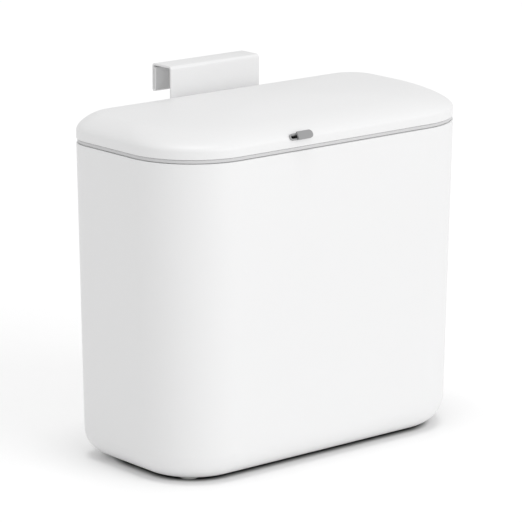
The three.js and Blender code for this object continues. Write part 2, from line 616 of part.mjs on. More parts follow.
// Shrinks the flat top's outline towards its own middle, for the crown.
function crownOutline(scale, wall) {
  const base = shoulderOutline(1, wall);
  const middleY = (SHOULDER_FRONT - SHOULDER_BACK) / 2;
  return base.map((p) => new THREE.Vector2(p.x * scale, middleY + (p.y - middleY) * scale));
}

function domeRings(wall) {
  const rise = SHOULDER_RISE - wall;
  const rings = [{ points: shoulderOutline(0, wall), z: SPRINGING }];
  for (let step = 1; step < SHOULDER_STEPS; step += 1) {
    const angle = step / SHOULDER_STEPS * Math.PI / 2;
    const share = 1 - Math.cos(angle) ** SHOULDER_SHAPE;
    const z = SPRINGING + rise * Math.sin(angle) ** SHOULDER_SHAPE;
    rings.push({ points: shoulderOutline(share, wall), z });
  }
  CROWN_SCALES.forEach((scale) => {
    rings.push({ points: crownOutline(scale, wall), z: SPRINGING + rise + LID_CROWN * (1 - scale * scale) });
  });
  return rings;
}

const lidBossPlaces = () => {
  const x = BIN_WIDTH / 2 - LID_BOSS_INSET_X;
  const front = FRONT_Y + LID_BOSS_INSET_Y;
  const back = MOUTH_BACK - PANEL_REAR_CLEAR - LID_BOSS_RADIUS * 2;
  return [[x, front], [-x, front], [x, back], [-x, back]];
};
const LID_SCREW = { headRadius: 2.8, headHeight: 1.6, shankRadius: 1.3, length: 9 };

// Two ears beside each tower hang from the lid's roof and hold the pin.
function ears(centre) {
  const root = SHOULDER_TOP - LID_WALL * EAR_ROOT_SHARE;
  return [-1, 1].map((side) => {
    const near = centre + side * (KNUCKLE_WIDTH / 2 + SIDE_GAP);
    const far = near + side * EAR_WIDTH;
    const profile = new THREE.Shape();
    profile.moveTo(HINGE_Y + KNUCKLE_RADIUS, HINGE_Z);
    profile.lineTo(HINGE_Y + KNUCKLE_RADIUS * EAR_BACK_SHARE, root);
    profile.lineTo(HINGE_Y - KNUCKLE_RADIUS, root);
    profile.lineTo(HINGE_Y - KNUCKLE_RADIUS, HINGE_Z);
    profile.absarc(HINGE_Y, HINGE_Z, KNUCKLE_RADIUS, Math.PI, Math.PI * 2);
    return prismX(profile, Math.min(near, far), Math.max(near, far), 10);
  });
}

// The lock's outline on (x, z), drawn round its own centre height and then leant onto the shoulder.
const lockOutline = (inset) => roundedRectangle(
  LOCK_X - LOCK_LENGTH / 2 + inset, LOCK_X + LOCK_LENGTH / 2 - inset,
  -BEZEL_HEIGHT / 2 + inset, BEZEL_HEIGHT / 2 - inset,
  BEZEL_HEIGHT / 2 - inset - END_FLAT);
const leant = (geometry) => geometry.rotateX(-LOCK_LEAN).translate(0, LOCK_Y, LOCK_Z);

function lidGeometry() {
  const outer = domeRings(0);
  outer.unshift(
    { points: rimOutline(LID_EDGE_EASE), z: LID_BOTTOM },
    { points: rimOutline(0), z: LID_BOTTOM + LID_EDGE_EASE },
  );
  const inner = domeRings(LID_WALL).reverse();
  inner.push({ points: rimOutline(LID_WALL), z: LID_BOTTOM });
  const shell = solid(loft([...inner, ...outer]));
  const roof = SHOULDER_TOP + LID_CROWN * BOSS_CROWN_SHARE - LID_WALL / 2;
  const bosses = lidBossPlaces().map(([x, y]) => barZ(LID_BOSS_RADIUS, x, y, PANEL_TOP + SEAT_GAP, roof));
  const withParts = join(shell, ...bosses, ...knuckleCentres.flatMap(ears));
  const pilotTop = PANEL_BOTTOM + LID_SCREW.length + SIDE_GAP;
  const pilots = lidBossPlaces().map(([x, y]) => barZ(
    LID_SCREW.shankRadius + PIN_GAP, x, y, PANEL_TOP, pilotTop, SCREW_SIDES));
  const wide = BIN_WIDTH;
  const swing = cut(
    solid(block(-wide, wide, HINGE_Y, BACK_Y + CUT_OVER, LID_BOTTOM - CUT_OVER, HINGE_Z)),
    barX(LID_CUT_RADIUS, HINGE_Y, HINGE_Z, -wide, wide, SWING_SIDES));
  const notches = knuckleCentres.map((x) => block(
    x - KNUCKLE_WIDTH / 2 - SIDE_GAP, x + KNUCKLE_WIDTH / 2 + SIDE_GAP,
    HINGE_Y, BACK_Y + CUT_OVER, LID_BOTTOM - CUT_OVER, HINGE_Z + KNUCKLE_RADIUS + SIDE_GAP));
  const pinHoles = knuckleCentres.map((x) => barX(
    PIN_RADIUS + PIN_GAP, HINGE_Y, HINGE_Z, x - HINGE_REACH - PIN_GAP, x + HINGE_REACH + PIN_GAP));
  const opening = leant(prismY(lockOutline(LID_OPENING_INSET), -CUT_OVER, CUT_OVER));
  return geometryOf(cut(withParts, ...pilots, ...notches, ...pinHoles, opening).subtract(swing));
}

function panelGeometry() {
  const inset = LID_WALL + SIDE_GAP;
  const plate = solid(loft([
    { points: rimOutline(inset), z: PANEL_BOTTOM },
    { points: rimOutline(inset), z: PANEL_TOP },
  ]));
  const wide = BIN_WIDTH;
  const low = PANEL_BOTTOM - CUT_OVER;
  const high = PANEL_TOP + CUT_OVER;
  const rear = block(-wide, wide, MOUTH_BACK + PANEL_REAR_CLEAR, BACK_Y + CUT_OVER, low, high);
  const bolt = block(
    BOLT_SLOT.x0 - PANEL_NOTCH_LEFT, BOLT_SLOT.x1 + PANEL_NOTCH_RIGHT,
    FRONT_Y - CUT_OVER, BOLT_SLOT.y1, low, high);
  const holes = lidBossPlaces().map(([x, y]) => barZ(
    LID_SCREW.shankRadius + PIN_GAP, x, y, low, high, SCREW_SIDES));
  return geometryOf(cut(plate, rear, bolt, ...holes));
}

function gasketGeometry() {
  const outer = mouthOutline(GASKET_SETBACK + GASKET_WIDTH);
  const inner = mouthOutline(GASKET_SETBACK);
  return prismZ(ringShape(outer, inner), LID_BOTTOM, PANEL_BOTTOM - SEAT_GAP);
}

function addLid() {
  place('lid_shell', lidGeometry(), whitePlastic());
  place('lid_inner_panel', panelGeometry(), whitePlastic());
  place('lid_gasket', gasketGeometry(), softRubber());
  lidBossPlaces().forEach(([x, y], number) => {
    const upsideDown = [Math.PI, 0, 0];
    const z = PANEL_BOTTOM - SEAT_GAP;
    place(`lid_screw_${number + 1}`, screwGeometry(LID_SCREW), zincSteel(), [x, y, z], upsideDown);
  });
}

// ---- Lid lock ----
const THUMB_X1 = LOCK_X + LOCK_LENGTH / 2;
const THUMB_X0 = THUMB_X1 - THUMB_LENGTH;
const LOCK_SCREW = { headRadius: 1.6, headHeight: 0.9, shankRadius: 0.5, length: 3.9 };
const LOCK_SCREW_X = (BOLT_X0 + BOLT_X1) / 2;
const LOCK_SCREW_Z = LOCK_Z - LOCK_SCREW_DROP;

function bezelGeometry() {
  const plate = solid(leant(prismY(lockOutline(0), -SEAT_GAP - BEZEL_PROUD, -SEAT_GAP)));
  return geometryOf(cut(plate, leant(prismY(lockOutline(BEZEL_BORDER), -CUT_OVER, CUT_OVER))));
}

function thumbGeometry() {
  const half = THUMB_HEIGHT / 2;
  const x0 = BOLT_X0 + NECK_INSET;
  const x1 = BOLT_X1 - NECK_INSET;
  const shape = roundedRectangle(THUMB_X0, THUMB_X1, -half, half, half - END_FLAT);
  const squareLeft = block(THUMB_X0, THUMB_X0 + THUMB_HEIGHT, THUMB_FACE, THUMB_BACK, -half, half);
  const neckHalf = BEZEL_HEIGHT / 2 - BEZEL_BORDER - SIDE_GAP / 2;
  const reach = LID_WALL + NECK_REACH;
  const neck = block(x0, x1, THUMB_BACK - ROOT, reach, -neckHalf, neckHalf);
  const padFront = LOCK_Y + reach * Math.cos(LOCK_LEAN) - PAD_LAP;
  const padBottom = LOCK_Z - reach * Math.sin(LOCK_LEAN) - neckHalf / 2;
  const pad = block(x0, x1, padFront, BOLT_Y0 - SEAT_GAP, padBottom, LOCK_SCREW_Z + PAD_RISE);
  const face = solid(leant(prismY(shape, THUMB_FACE, THUMB_BACK)));
  const whole = join(face, leant(squareLeft), leant(neck), pad);
  const pilot = barY(
    LOCK_SCREW.shankRadius + PIN_GAP, LOCK_SCREW_X, LOCK_SCREW_Z,
    BOLT_Y0 - LOCK_SCREW.length, BOLT_Y0, SCREW_SIDES);
  return geometryOf(cut(whole, pilot));
}

function boltGeometry() {
  const top = LOCK_Z + BOLT_TOP_RISE;
  const leg = solid(block(BOLT_X0, BOLT_X1, BOLT_Y0, BOLT_Y1, BOLT_BOTTOM, top));
  const foot = block(
    BOLT_X0 - BOLT_FOOT, BOLT_X0 + ROOT, BOLT_Y0, BOLT_Y1, BOLT_BOTTOM, BOLT_BOTTOM + BOLT_FOOT_HEIGHT);
  const hole = barY(
    LOCK_SCREW.shankRadius + PIN_GAP, LOCK_SCREW_X, LOCK_SCREW_Z,
    BOLT_Y0 - CUT_OVER, BOLT_Y1 + CUT_OVER, SCREW_SIDES);
  return geometryOf(cut(join(leg, foot), hole));
}

function addLock() {
  place('lock_bezel', bezelGeometry(), lockGrey());
  place('lock_thumb', thumbGeometry(), lockGrey());
  place('lock_bolt', boltGeometry(), darkPlastic());
  const turn = [-Math.PI / 2, 0, 0];
  const screwAt = [LOCK_SCREW_X, BOLT_Y1 + SEAT_GAP, LOCK_SCREW_Z];
  place('lock_screw', screwGeometry(LOCK_SCREW), zincSteel(), screwAt, turn);
}

// ---- Door hook ----
// The sheet's section on (y, z): front leg, two bends, top, back leg and the hem folded up inside it.
function hookProfile() {
  const inner = HOOK_BEND - HOOK_SHEET;
  const top = HOOK_TOP;
  const backBottom = top - HOOK_BACK_DROP;
  const foldOuter = HOOK_SHEET + HEM_GAP / 2;
  const foldInner = HEM_GAP / 2;
  const foldY = HOOK_BACK_Y - foldOuter;
  const foldZ = backBottom + foldOuter;
  const leafTop = top - HOOK_SHEET - HEM_TOP_GAP;
  const shape = new THREE.Shape();
  shape.moveTo(HOOK_FRONT_Y, HOOK_LEG_BOTTOM);
  shape.lineTo(HOOK_FRONT_Y + HOOK_SHEET, HOOK_LEG_BOTTOM);
  shape.lineTo(HOOK_FRONT_Y + HOOK_SHEET, top - HOOK_BEND);
  shape.absarc(HOOK_FRONT_Y + HOOK_BEND, top - HOOK_BEND, inner, Math.PI, Math.PI / 2, true);
  shape.lineTo(HOOK_BACK_Y - HOOK_BEND, top - HOOK_SHEET);
  shape.absarc(HOOK_BACK_Y - HOOK_BEND, top - HOOK_BEND, inner, Math.PI / 2, 0, true);
  shape.lineTo(HOOK_BACK_Y - HOOK_SHEET, foldZ);
  shape.absarc(foldY, foldZ, foldInner, 0, -Math.PI, true);
  shape.lineTo(foldY - foldInner, leafTop);
  shape.lineTo(foldY - foldOuter, leafTop);
  shape.lineTo(foldY - foldOuter, foldZ);
  shape.absarc(foldY, foldZ, foldOuter, -Math.PI, 0);
  shape.lineTo(HOOK_BACK_Y, top - HOOK_BEND);
  shape.absarc(HOOK_BACK_Y - HOOK_BEND, top - HOOK_BEND, HOOK_BEND, 0, Math.PI / 2);
  shape.lineTo(HOOK_FRONT_Y + HOOK_BEND, top);
  shape.absarc(HOOK_FRONT_Y + HOOK_BEND, top - HOOK_BEND, HOOK_BEND, Math.PI / 2, Math.PI);
  return shape;
}

function hookGeometry() {
  const sheet = solid(prismX(hookProfile(), -HOOK_WIDTH / 2, HOOK_WIDTH / 2, 6));
  const holes = [-HOOK_SCREW_SPREAD, HOOK_SCREW_SPREAD].map((x) => barY(
    HOOK_SCREW_RADIUS + PIN_GAP, x, HOOK_SCREW_Z, HOOK_FRONT_Y - CUT_OVER, HOOK_FRONT_Y + CUT_OVER));
  return geometryOf(cut(sheet, ...holes));
}

function doorPadGeometry() {
  const half = HOOK_WIDTH / 2 - DOOR_PAD_BORDER;
  const y0 = HOOK_FRONT_Y + HOOK_SHEET + SEAT_GAP;
  const shape = roundedRectangle(
    -half, half, HOOK_LEG_BOTTOM + DOOR_PAD_BORDER, DOOR_PAD_TOP, DOOR_PAD_CORNER);
  const pockets = [-HOOK_SCREW_SPREAD, HOOK_SCREW_SPREAD].map((x) => barY(
    NUT_WIDTH / 2 + NUT_POCKET_ROOM, x, HOOK_SCREW_Z, y0 - CUT_OVER, y0 + DOOR_PAD_THICKNESS + CUT_OVER));
  return geometryOf(cut(solid(prismY(shape, y0, y0 + DOOR_PAD_THICKNESS, 4)), ...pockets));
}

function ringOf(outerRadius, holeRadius, x, z, y0, y1, sides) {
  return geometryOf(cut(
    solid(barY(outerRadius, x, z, y0, y1, sides)),
    barY(holeRadius, x, z, y0 - CUT_OVER, y1 + CUT_OVER)));
}

function addHook() {
  place('door_hook', hookGeometry(), whiteSteel());
  place('door_pad', doorPadGeometry(), greyFoam());
  const wallInside = backFaceY(HOOK_SCREW_Z) - BODY_WALL;
  const washerFront = wallInside - SEAT_GAP - WASHER_THICKNESS;
  const nutY = HOOK_FRONT_Y + HOOK_SHEET + SEAT_GAP;
  const length = nutY + NUT_THICKNESS - washerFront + THREAD_END;
  const bolt = { headRadius: 3.6, headHeight: 2.2, shankRadius: HOOK_SCREW_RADIUS, length };
  [-HOOK_SCREW_SPREAD, HOOK_SCREW_SPREAD].forEach((x, number) => {
    const label = number + 1;
    const holeRadius = HOOK_SCREW_RADIUS + PIN_GAP;
    place(`hook_screw_${label}`, screwGeometry(bolt), zincSteel(),
      [x, washerFront - SEAT_GAP, HOOK_SCREW_Z], [Math.PI / 2, 0, 0]);
    const washerBack = washerFront + WASHER_THICKNESS;
    place(`hook_washer_${label}`, ringOf(
      WASHER_RADIUS, holeRadius, x, HOOK_SCREW_Z, washerFront, washerBack, ROUND_SIDES), zincSteel());
    place(`hook_nut_${label}`, ringOf(
      NUT_WIDTH / Math.sqrt(3), holeRadius, x, HOOK_SCREW_Z, nutY, nutY + NUT_THICKNESS, 6), zincSteel());
  });
}

addBody();
addRing();
addHingePins();
addLid();
addLock();
addHook();

export default model;
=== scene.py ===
"""Door-hung waste caddy: moulded bin and pebble lid, rim ring, sliding lid lock and bent steel door hook.

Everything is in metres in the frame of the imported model: +Z up, +X to the right of a person who faces the
front, +Y towards the door. Each sub-assembly is a class that builds its pieces and dresses them.
"""

import logging
import math
from dataclasses import dataclass
from enum import Enum
from typing import Iterable, Sequence

import bmesh
import bpy
from mathutils import Matrix, Vector


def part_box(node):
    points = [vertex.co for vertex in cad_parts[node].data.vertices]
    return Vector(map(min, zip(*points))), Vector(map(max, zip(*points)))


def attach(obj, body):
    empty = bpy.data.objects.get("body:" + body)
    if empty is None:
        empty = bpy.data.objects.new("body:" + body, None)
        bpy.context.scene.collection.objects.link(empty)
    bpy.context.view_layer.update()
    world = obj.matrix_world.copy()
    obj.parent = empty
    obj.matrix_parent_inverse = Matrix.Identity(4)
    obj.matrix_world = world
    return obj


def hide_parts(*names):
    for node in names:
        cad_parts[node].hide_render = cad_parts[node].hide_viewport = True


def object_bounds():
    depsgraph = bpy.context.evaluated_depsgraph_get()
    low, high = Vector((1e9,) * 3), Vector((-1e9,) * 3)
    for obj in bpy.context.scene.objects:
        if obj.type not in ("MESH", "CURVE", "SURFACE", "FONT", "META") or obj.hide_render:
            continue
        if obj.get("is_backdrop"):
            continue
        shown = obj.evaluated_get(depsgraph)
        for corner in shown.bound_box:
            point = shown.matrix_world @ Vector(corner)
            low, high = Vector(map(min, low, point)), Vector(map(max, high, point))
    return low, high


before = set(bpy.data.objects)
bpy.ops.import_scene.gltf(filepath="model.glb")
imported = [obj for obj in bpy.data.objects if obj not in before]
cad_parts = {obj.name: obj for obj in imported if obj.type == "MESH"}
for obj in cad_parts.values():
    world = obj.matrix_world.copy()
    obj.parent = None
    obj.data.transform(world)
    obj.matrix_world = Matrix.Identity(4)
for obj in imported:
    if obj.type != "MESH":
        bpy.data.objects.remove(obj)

LOG = logging.getLogger("caddy")
MM = 0.001
SEAT_GAP = 0.3 * MM
SIDE_GAP = 0.4 * MM
PIN_GAP = 0.15 * MM
PIN_HOLE = 1.65 * MM
PIN_REACH = 10.8 * MM
RING_SCREW_HOLE = 1.55 * MM
LINER_SCREW_HOLE = 1.45 * MM
HOOK_SCREW_HOLE = 2.15 * MM
MERGE = 0.001 * MM
LEAST_RADIUS = 1 * MM
CORNER_SEGMENTS = 24
ROUND_SIDES = 64
SMOOTH_ANGLE = math.radians(32)


class Body(Enum):
    """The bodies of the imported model."""

    BIN = "bin"
    LID = "lid"
    LOCK = "lock"


class Slot(Enum):
    """The record's material slots."""

    WHITE_SHELL = "white_shell"
    RING_GREY = "ring_grey"
    LOCK_GREY = "lock_grey"
    LOCK_DARK = "lock_dark"
    WHITE_STEEL = "white_steel"
    ZINC_STEEL = "zinc_steel"
    SOFT_RUBBER = "soft_rubber"
    PAD_FOAM = "pad_foam"


class Merge(Enum):
    """How a tool shape changes the piece it is applied to."""

    JOIN = "UNION"
    CUT = "DIFFERENCE"
    KEEP = "INTERSECT"


# ---------------------------------------------------------------------------------------------- shaders


class Socket:
    """A shader socket that can stand in a Python expression on values."""

    def __init__(self, shader: "Shader", socket: bpy.types.NodeSocket) -> None:
        """Wraps a socket.

        Args:
            shader: The material being built.
            socket: The output socket.
        """
        self.shader = shader
        self.socket = socket

    def _math(self, operation: str, first: "Socket | float", second: "Socket | float") -> "Socket":
        """Adds a Math node.

        Args:
            operation: The Math node's operation.
            first: Its first value.
            second: Its second value.

        Returns:
            The node's result.
        """
        return self.shader.add("ShaderNodeMath", {"operation": operation}, {0: first, 1: second})["Value"]

    def __add__(self, other: "Socket | float") -> "Socket":
        """self + other."""
        return self._math("ADD", self, other)

    def __radd__(self, other: float) -> "Socket":
        """other + self."""
        return self._math("ADD", other, self)

    def __sub__(self, other: "Socket | float") -> "Socket":
        """self - other."""
        return self._math("SUBTRACT", self, other)

    def __rsub__(self, other: float) -> "Socket":
        """other - self."""
        return self._math("SUBTRACT", other, self)

    def __mul__(self, other: "Socket | float") -> "Socket":
        """self * other."""
        return self._math("MULTIPLY", self, other)

    def __rmul__(self, other: float) -> "Socket":
        """other * self."""
        return self._math("MULTIPLY", other, self)


class Outputs:
    """A node's outputs by name, as sockets for expressions."""

    def __init__(self, shader: "Shader", node: bpy.types.Node) -> None:
        """Wraps a node.

        Args:
            shader: The material being built.
            node: The node.
        """
        self.shader = shader
        self.node = node

    def __getitem__(self, name: "str | int") -> Socket:
        """One output."""
        return Socket(self.shader, self.node.outputs[name])


class Shader:
    """A node material while it is being built."""

    def __init__(self, name: str) -> None:
        """Starts an empty material.

        Args:
            name: The material's name.
        """
        self.material = bpy.data.materials.new(name)
        self.material.use_nodes = True
        self.tree = self.material.node_tree
        self.tree.nodes.clear()

    def add(self, kind: str, settings: dict | None = None, inputs: dict | None = None) -> Outputs:
        """Adds a node.

        Args:
            kind: The node's type name.
            settings: Properties of the node, set first.
            inputs: Socket name or number to a value or a Socket.

        Returns:
            The node's outputs.
        """
        node = self.tree.nodes.new(kind)
        for key, value in (settings or {}).items():
            setattr(node, key, value)
        for key, value in (inputs or {}).items():
            if isinstance(value, Socket):
                self.tree.links.new(value.socket, node.inputs[key])
            else:
                node.inputs[key].default_value = value
        return Outputs(self, node)

    def place(self) -> Socket:
        """Object coordinates."""
        return self.add("ShaderNodeTexCoord")["Object"]

    def noise(self, scale: float, detail: float = 2.0, roughness: float = 0.5) -> Socket:
        """Noise on object coordinates.

        Args:
            scale: Cells per metre.
            detail: Octaves.
            roughness: How strong the finer octaves are.

        Returns:
            The noise, about 0 to 1.
        """
        inputs = {"Vector": self.place(), "Scale": scale, "Detail": detail, "Roughness": roughness}
        return self.add("ShaderNodeTexNoise", None, inputs)["Fac"]

    def mix(self, factor: Socket, first: Sequence[float], second: Sequence[float]) -> Socket:
        """Mixes two colours.

        Args:
            factor: 0 for the first, 1 for the second.
            first: A linear RGB colour.
            second: A linear RGB colour.

        Returns:
            The mixed colour.
        """
        settings = {"data_type": "RGBA"}
        inputs = {0: factor, 6: (*first, 1.0), 7: (*second, 1.0)}
        return self.add("ShaderNodeMix", settings, inputs)[2]

    def band(self, value: Socket, start: float, end: float) -> Socket:
        """Maps a value's stretch to 0 to 1.

        Args:
            value: The value.
            start: Where the result is 0.
            end: Where the result is 1.

        Returns:
            The clamped, smoothed result.
        """
        settings = {"interpolation_type": "SMOOTHSTEP"}
        inputs = {"Value": value, "From Min": start, "From Max": end}
        return self.add("ShaderNodeMapRange", settings, inputs)["Result"]

    def bump(self, height: Socket, depth: float, strength: float = 1.0) -> Socket:
        """A bump from a height.

        Args:
            height: The height, 0 to 1.
            depth: The relief in metres.
            strength: Share of the relief that shows.

        Returns:
            The bumped normal.
        """
        inputs = {"Height": height, "Distance": depth, "Strength": strength}
        return self.add("ShaderNodeBump", None, inputs)["Normal"]

    def finish(self, inputs: dict) -> bpy.types.Material:
        """Ends the material in a Principled shader.

        Args:
            inputs: The shader's socket values and links.

        Returns:
            The material.
        """
        surface = self.add("ShaderNodeBsdfPrincipled", None, inputs)["BSDF"]
        self.add("ShaderNodeOutputMaterial", None, {"Surface": surface})
        return self.material


def shaded(colour: Sequence[float], share: float) -> tuple[float, ...]:
    """A colour made darker or lighter by a share."""
    return tuple(min(channel * share, 1.0) for channel in colour)


@dataclass(frozen=True)
class MouldedPlastic:
    """Satin injection-moulded plastic with a fine spark-eroded grain."""

    name: str
    colour: tuple[float, float, float]
    roughness: float = 0.42
    specular: float = 0.42
    cloud_scale: float = 9.0
    cloud_share: float = 0.985
    grain_scale: float = 2600.0
    grain_depth: float = 0.012 * MM
    scuff_height: float = 16 * MM

    def material(self) -> bpy.types.Material:
        """Builds the material."""
        shader = Shader(self.name)
        cloud = shader.noise(self.cloud_scale, 2.0)
        fine = shader.noise(self.grain_scale, 1.0)
        rubbed = shader.band(shader.noise(140.0, 4.0, 0.65), 0.56, 0.74)
        heights = shader.add("ShaderNodeSeparateXYZ", None, {0: shader.place()})["Z"]
        low = 1 - shader.band(heights, 0.0, self.scuff_height)
        wear = rubbed * low
        colour = shader.mix(cloud, shaded(self.colour, self.cloud_share), self.colour)
        roughness = self.roughness - 0.04 + cloud * 0.08 + wear * 0.12
        normal = shader.bump(fine + 0.35 * shader.noise(420.0, 2.0), self.grain_depth, 0.6)
        return shader.finish({
            "Base Color": colour, "Roughness": roughness, "Normal": normal,
            "Specular IOR Level": self.specular,
        })


@dataclass(frozen=True)
class PowderCoat:
    """Sprayed and baked coat on sheet steel, with its orange-peel skin."""

    name: str
    colour: tuple[float, float, float]
    roughness: float = 0.34
    peel_scale: float = 520.0
    peel_depth: float = 0.02 * MM

    def material(self) -> bpy.types.Material:
        """Builds the material."""
        shader = Shader(self.name)
        cloud = shader.noise(24.0, 3.0)
        peel = shader.noise(self.peel_scale, 2.0, 0.4)
        colour = shader.mix(cloud, shaded(self.colour, 0.975), self.colour)
        return shader.finish({
            "Base Color": colour, "Roughness": self.roughness - 0.03 + cloud * 0.06,
            "Normal": shader.bump(peel, self.peel_depth, 0.5), "Coat Weight": 0.12,
        })


@dataclass(frozen=True)
class ZincPlate:
    """Bright zinc plating, with faint drawing marks and crystals."""

    name: str
    colour: tuple[float, float, float]
    roughness: float = 0.3
    crystal_scale: float = 900.0
    mark_scale: float = 5200.0

    def material(self) -> bpy.types.Material:
        """Builds the material."""
        shader = Shader(self.name)
        inputs = {"Vector": shader.place(), "Scale": self.crystal_scale}
        crystal = shader.add("ShaderNodeTexVoronoi", None, inputs)["Distance"]
        marks = shader.noise(self.mark_scale, 2.0)
        colour = shader.mix(crystal, shaded(self.colour, 0.86), self.colour)
        return shader.finish({
            "Base Color": colour, "Metallic": 1.0, "Roughness": self.roughness + crystal * 0.12,
            "Normal": shader.bump(marks, 0.006 * MM, 0.5),
        })


@dataclass(frozen=True)
class SoftRubber:
    """Matte thermoplastic rubber with a dry, slightly dusty skin."""

    name: str
    colour: tuple[float, float, float]
    roughness: float = 0.78

    def material(self) -> bpy.types.Material:
        """Builds the material."""
        shader = Shader(self.name)
        dust = shader.band(shader.noise(260.0, 3.0, 0.6), 0.45, 0.75)
        skin = shader.noise(1900.0, 2.0)
        colour = shader.mix(dust, self.colour, shaded(self.colour, 1.1))
        return shader.finish({
            "Base Color": colour, "Roughness": self.roughness + dust * 0.12,
            "Normal": shader.bump(skin, 0.02 * MM, 0.7), "Specular IOR Level": 0.3,
        })


@dataclass(frozen=True)
class ClosedFoam:
    """Closed-cell foam sheet: small open pits where its cells were sliced, with painted shade darkening each pit.
    """

    name: str
    colour: tuple[float, float, float]
    cell_scale: float = 1300.0

    def material(self) -> bpy.types.Material:
        """Builds the material."""
        shader = Shader(self.name)
        inputs = {"Vector": shader.place(), "Scale": self.cell_scale}
        cell = shader.add("ShaderNodeTexVoronoi", None, inputs)["Distance"]
        pit_and_shade = shader.band(cell, 0.15, 0.6)
        tone = shader.noise(90.0, 3.0)
        # Painted shade: each pit's colour darkens towards 0.72 of the foam's colour, in step with the bump that
        # dents it.
        colour = shader.mix(pit_and_shade * (0.6 + 0.4 * tone), shaded(self.colour, 0.72), self.colour)
        return shader.finish({
            "Base Color": colour, "Roughness": 0.86 + 0.1 * tone,
            "Normal": shader.bump(pit_and_shade, 0.12 * MM, 0.8), "Specular IOR Level": 0.2,
        })


@dataclass(frozen=True)
class StudioFloor:
    """Matte white paper, broad enough to fill the view, with a painted contact shadow under the caddy."""

    name: str
    colour: tuple[float, float, float]
    contact_shadow_share: float = 0.03
    contact_shadow_start: float = 2 * MM
    contact_shadow_end: float = 13 * MM

    def vector(
            self, shader: Shader, operation: str, first: "Socket | Vector", second: Vector | None) -> Outputs:
        """Adds a Vector Math node.

        Args:
            shader: The material being built.
            operation: The node's operation.
            first: Its first vector.
            second: Its second vector, if it has one.

        Returns:
            The node's outputs.
        """
        inputs = {0: first} if second is None else {0: first, 1: second}
        return shader.add("ShaderNodeVectorMath", {"operation": operation}, inputs)

    def material(self) -> bpy.types.Material:
        """Builds the material."""
        shader = Shader(self.name)
        foot = BinBody().bottom(BinBody.bottom_radius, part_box("bin_body")[0].z, 0)[0].outline
        radius = foot.front_radius
        centre = Vector((0, (foot.front + foot.back) / 2, 0))
        reach = Vector((foot.half_width - radius, (foot.back - foot.front) / 2 - radius, 1))
        offset = self.vector(shader, "SUBTRACT", shader.place(), centre)["Vector"]
        folded = self.vector(shader, "ABSOLUTE", offset, None)["Vector"]
        beyond = self.vector(shader, "SUBTRACT", folded, reach)["Vector"]
        outside = self.vector(shader, "MAXIMUM", beyond, Vector((0, 0, 0)))["Vector"]
        distance = self.vector(shader, "LENGTH", outside, None)["Value"]
        # Painted contact shadow: the paper's colour falls to a few percent under the caddy's bottom outline and
        # fades back to full a few millimetres beyond it.
        clear = shader.band(distance, radius + self.contact_shadow_start, radius + self.contact_shadow_end)
        colour = shader.mix(clear, shaded(self.colour, self.contact_shadow_share), self.colour)
        return shader.finish({"Base Color": colour, "Roughness": 0.95, "Specular IOR Level": 0.0})


FINISHES = {
    Slot.WHITE_SHELL: MouldedPlastic("white_moulding", (0.78, 0.78, 0.782)),
    Slot.RING_GREY: MouldedPlastic("grey_ring_moulding", (0.6, 0.6, 0.604), roughness=0.5),
    Slot.LOCK_GREY: MouldedPlastic("grey_lock_moulding", (0.29, 0.29, 0.293), roughness=0.46),
    Slot.LOCK_DARK: MouldedPlastic("dark_lock_moulding", (0.07, 0.07, 0.072), roughness=0.5),
    Slot.WHITE_STEEL: PowderCoat("white_powder_coat", (0.78, 0.78, 0.782)),
    Slot.ZINC_STEEL: ZincPlate("zinc_plate", (0.62, 0.63, 0.64)),
    Slot.SOFT_RUBBER: SoftRubber("pale_rubber", (0.5, 0.5, 0.49)),
    Slot.PAD_FOAM: ClosedFoam("pale_foam", (0.45, 0.45, 0.445)),
}
MATERIALS: dict[Slot, bpy.types.Material] = {}


def material_for(slot: Slot) -> bpy.types.Material:
    """The slot's material, built on its first use."""
    if slot not in MATERIALS:
        MATERIALS[slot] = FINISHES[slot].material()
    return MATERIALS[slot]


# ---------------------------------------------------------------------------------------------- outlines


@dataclass(frozen=True)
class Outline:
    """A plan outline: four straight sides and four round corners."""

    half_width: float
    front: float
    back: float
    front_radius: float
    back_radius: float

    def inset(self, amount: float) -> "Outline":
        """The outline moved inwards by one amount all round."""
        return Outline(
            self.half_width - amount, self.front + amount, self.back - amount,
            max(self.front_radius - amount, LEAST_RADIUS), max(self.back_radius - amount, LEAST_RADIUS))

    def scaled(self, share: float) -> "Outline":
        """The outline shrunk towards its own middle."""
        middle = (self.front + self.back) / 2
        return Outline(
            self.half_width * share,
            middle + (self.front - middle) * share, middle + (self.back - middle) * share,
            self.front_radius * share, self.back_radius * share)

    def at(self, z: float) -> "Level":
        """The outline at a height."""
        return Level(self, z)


@dataclass(frozen=True)
class Level:
    """An outline at a height."""

    outline: Outline
    z: float


def lerp(first: float, second: float, share: float) -> float:
    """A value between two others."""
    return first + (second - first) * share


def eased(outer: Outline, z: float, radius: float, upwards: bool, steps: int = 5) -> list[Level]:
    """The levels of a rounded edge between a wall and a flat face.

    Args:
        outer: The wall's outline.
        z: The flat face's height.
        radius: The edge's radius.
        upwards: True for an upper edge, from wall to face; False for a lower one, from face to wall.
        steps: Facets in the edge.

    Returns:
        The levels in rising order.
    """
    rows = []
    for step in range(steps + 1):
        angle = step / steps * math.pi / 2
        if upwards:
            rows.append(outer.inset(radius * (1 - math.cos(angle))).at(z - radius * (1 - math.sin(angle))))
        else:
            rows.append(outer.inset(radius * (1 - math.sin(angle))).at(z + radius * (1 - math.cos(angle))))
    return rows


# ---------------------------------------------------------------------------------------------- forms


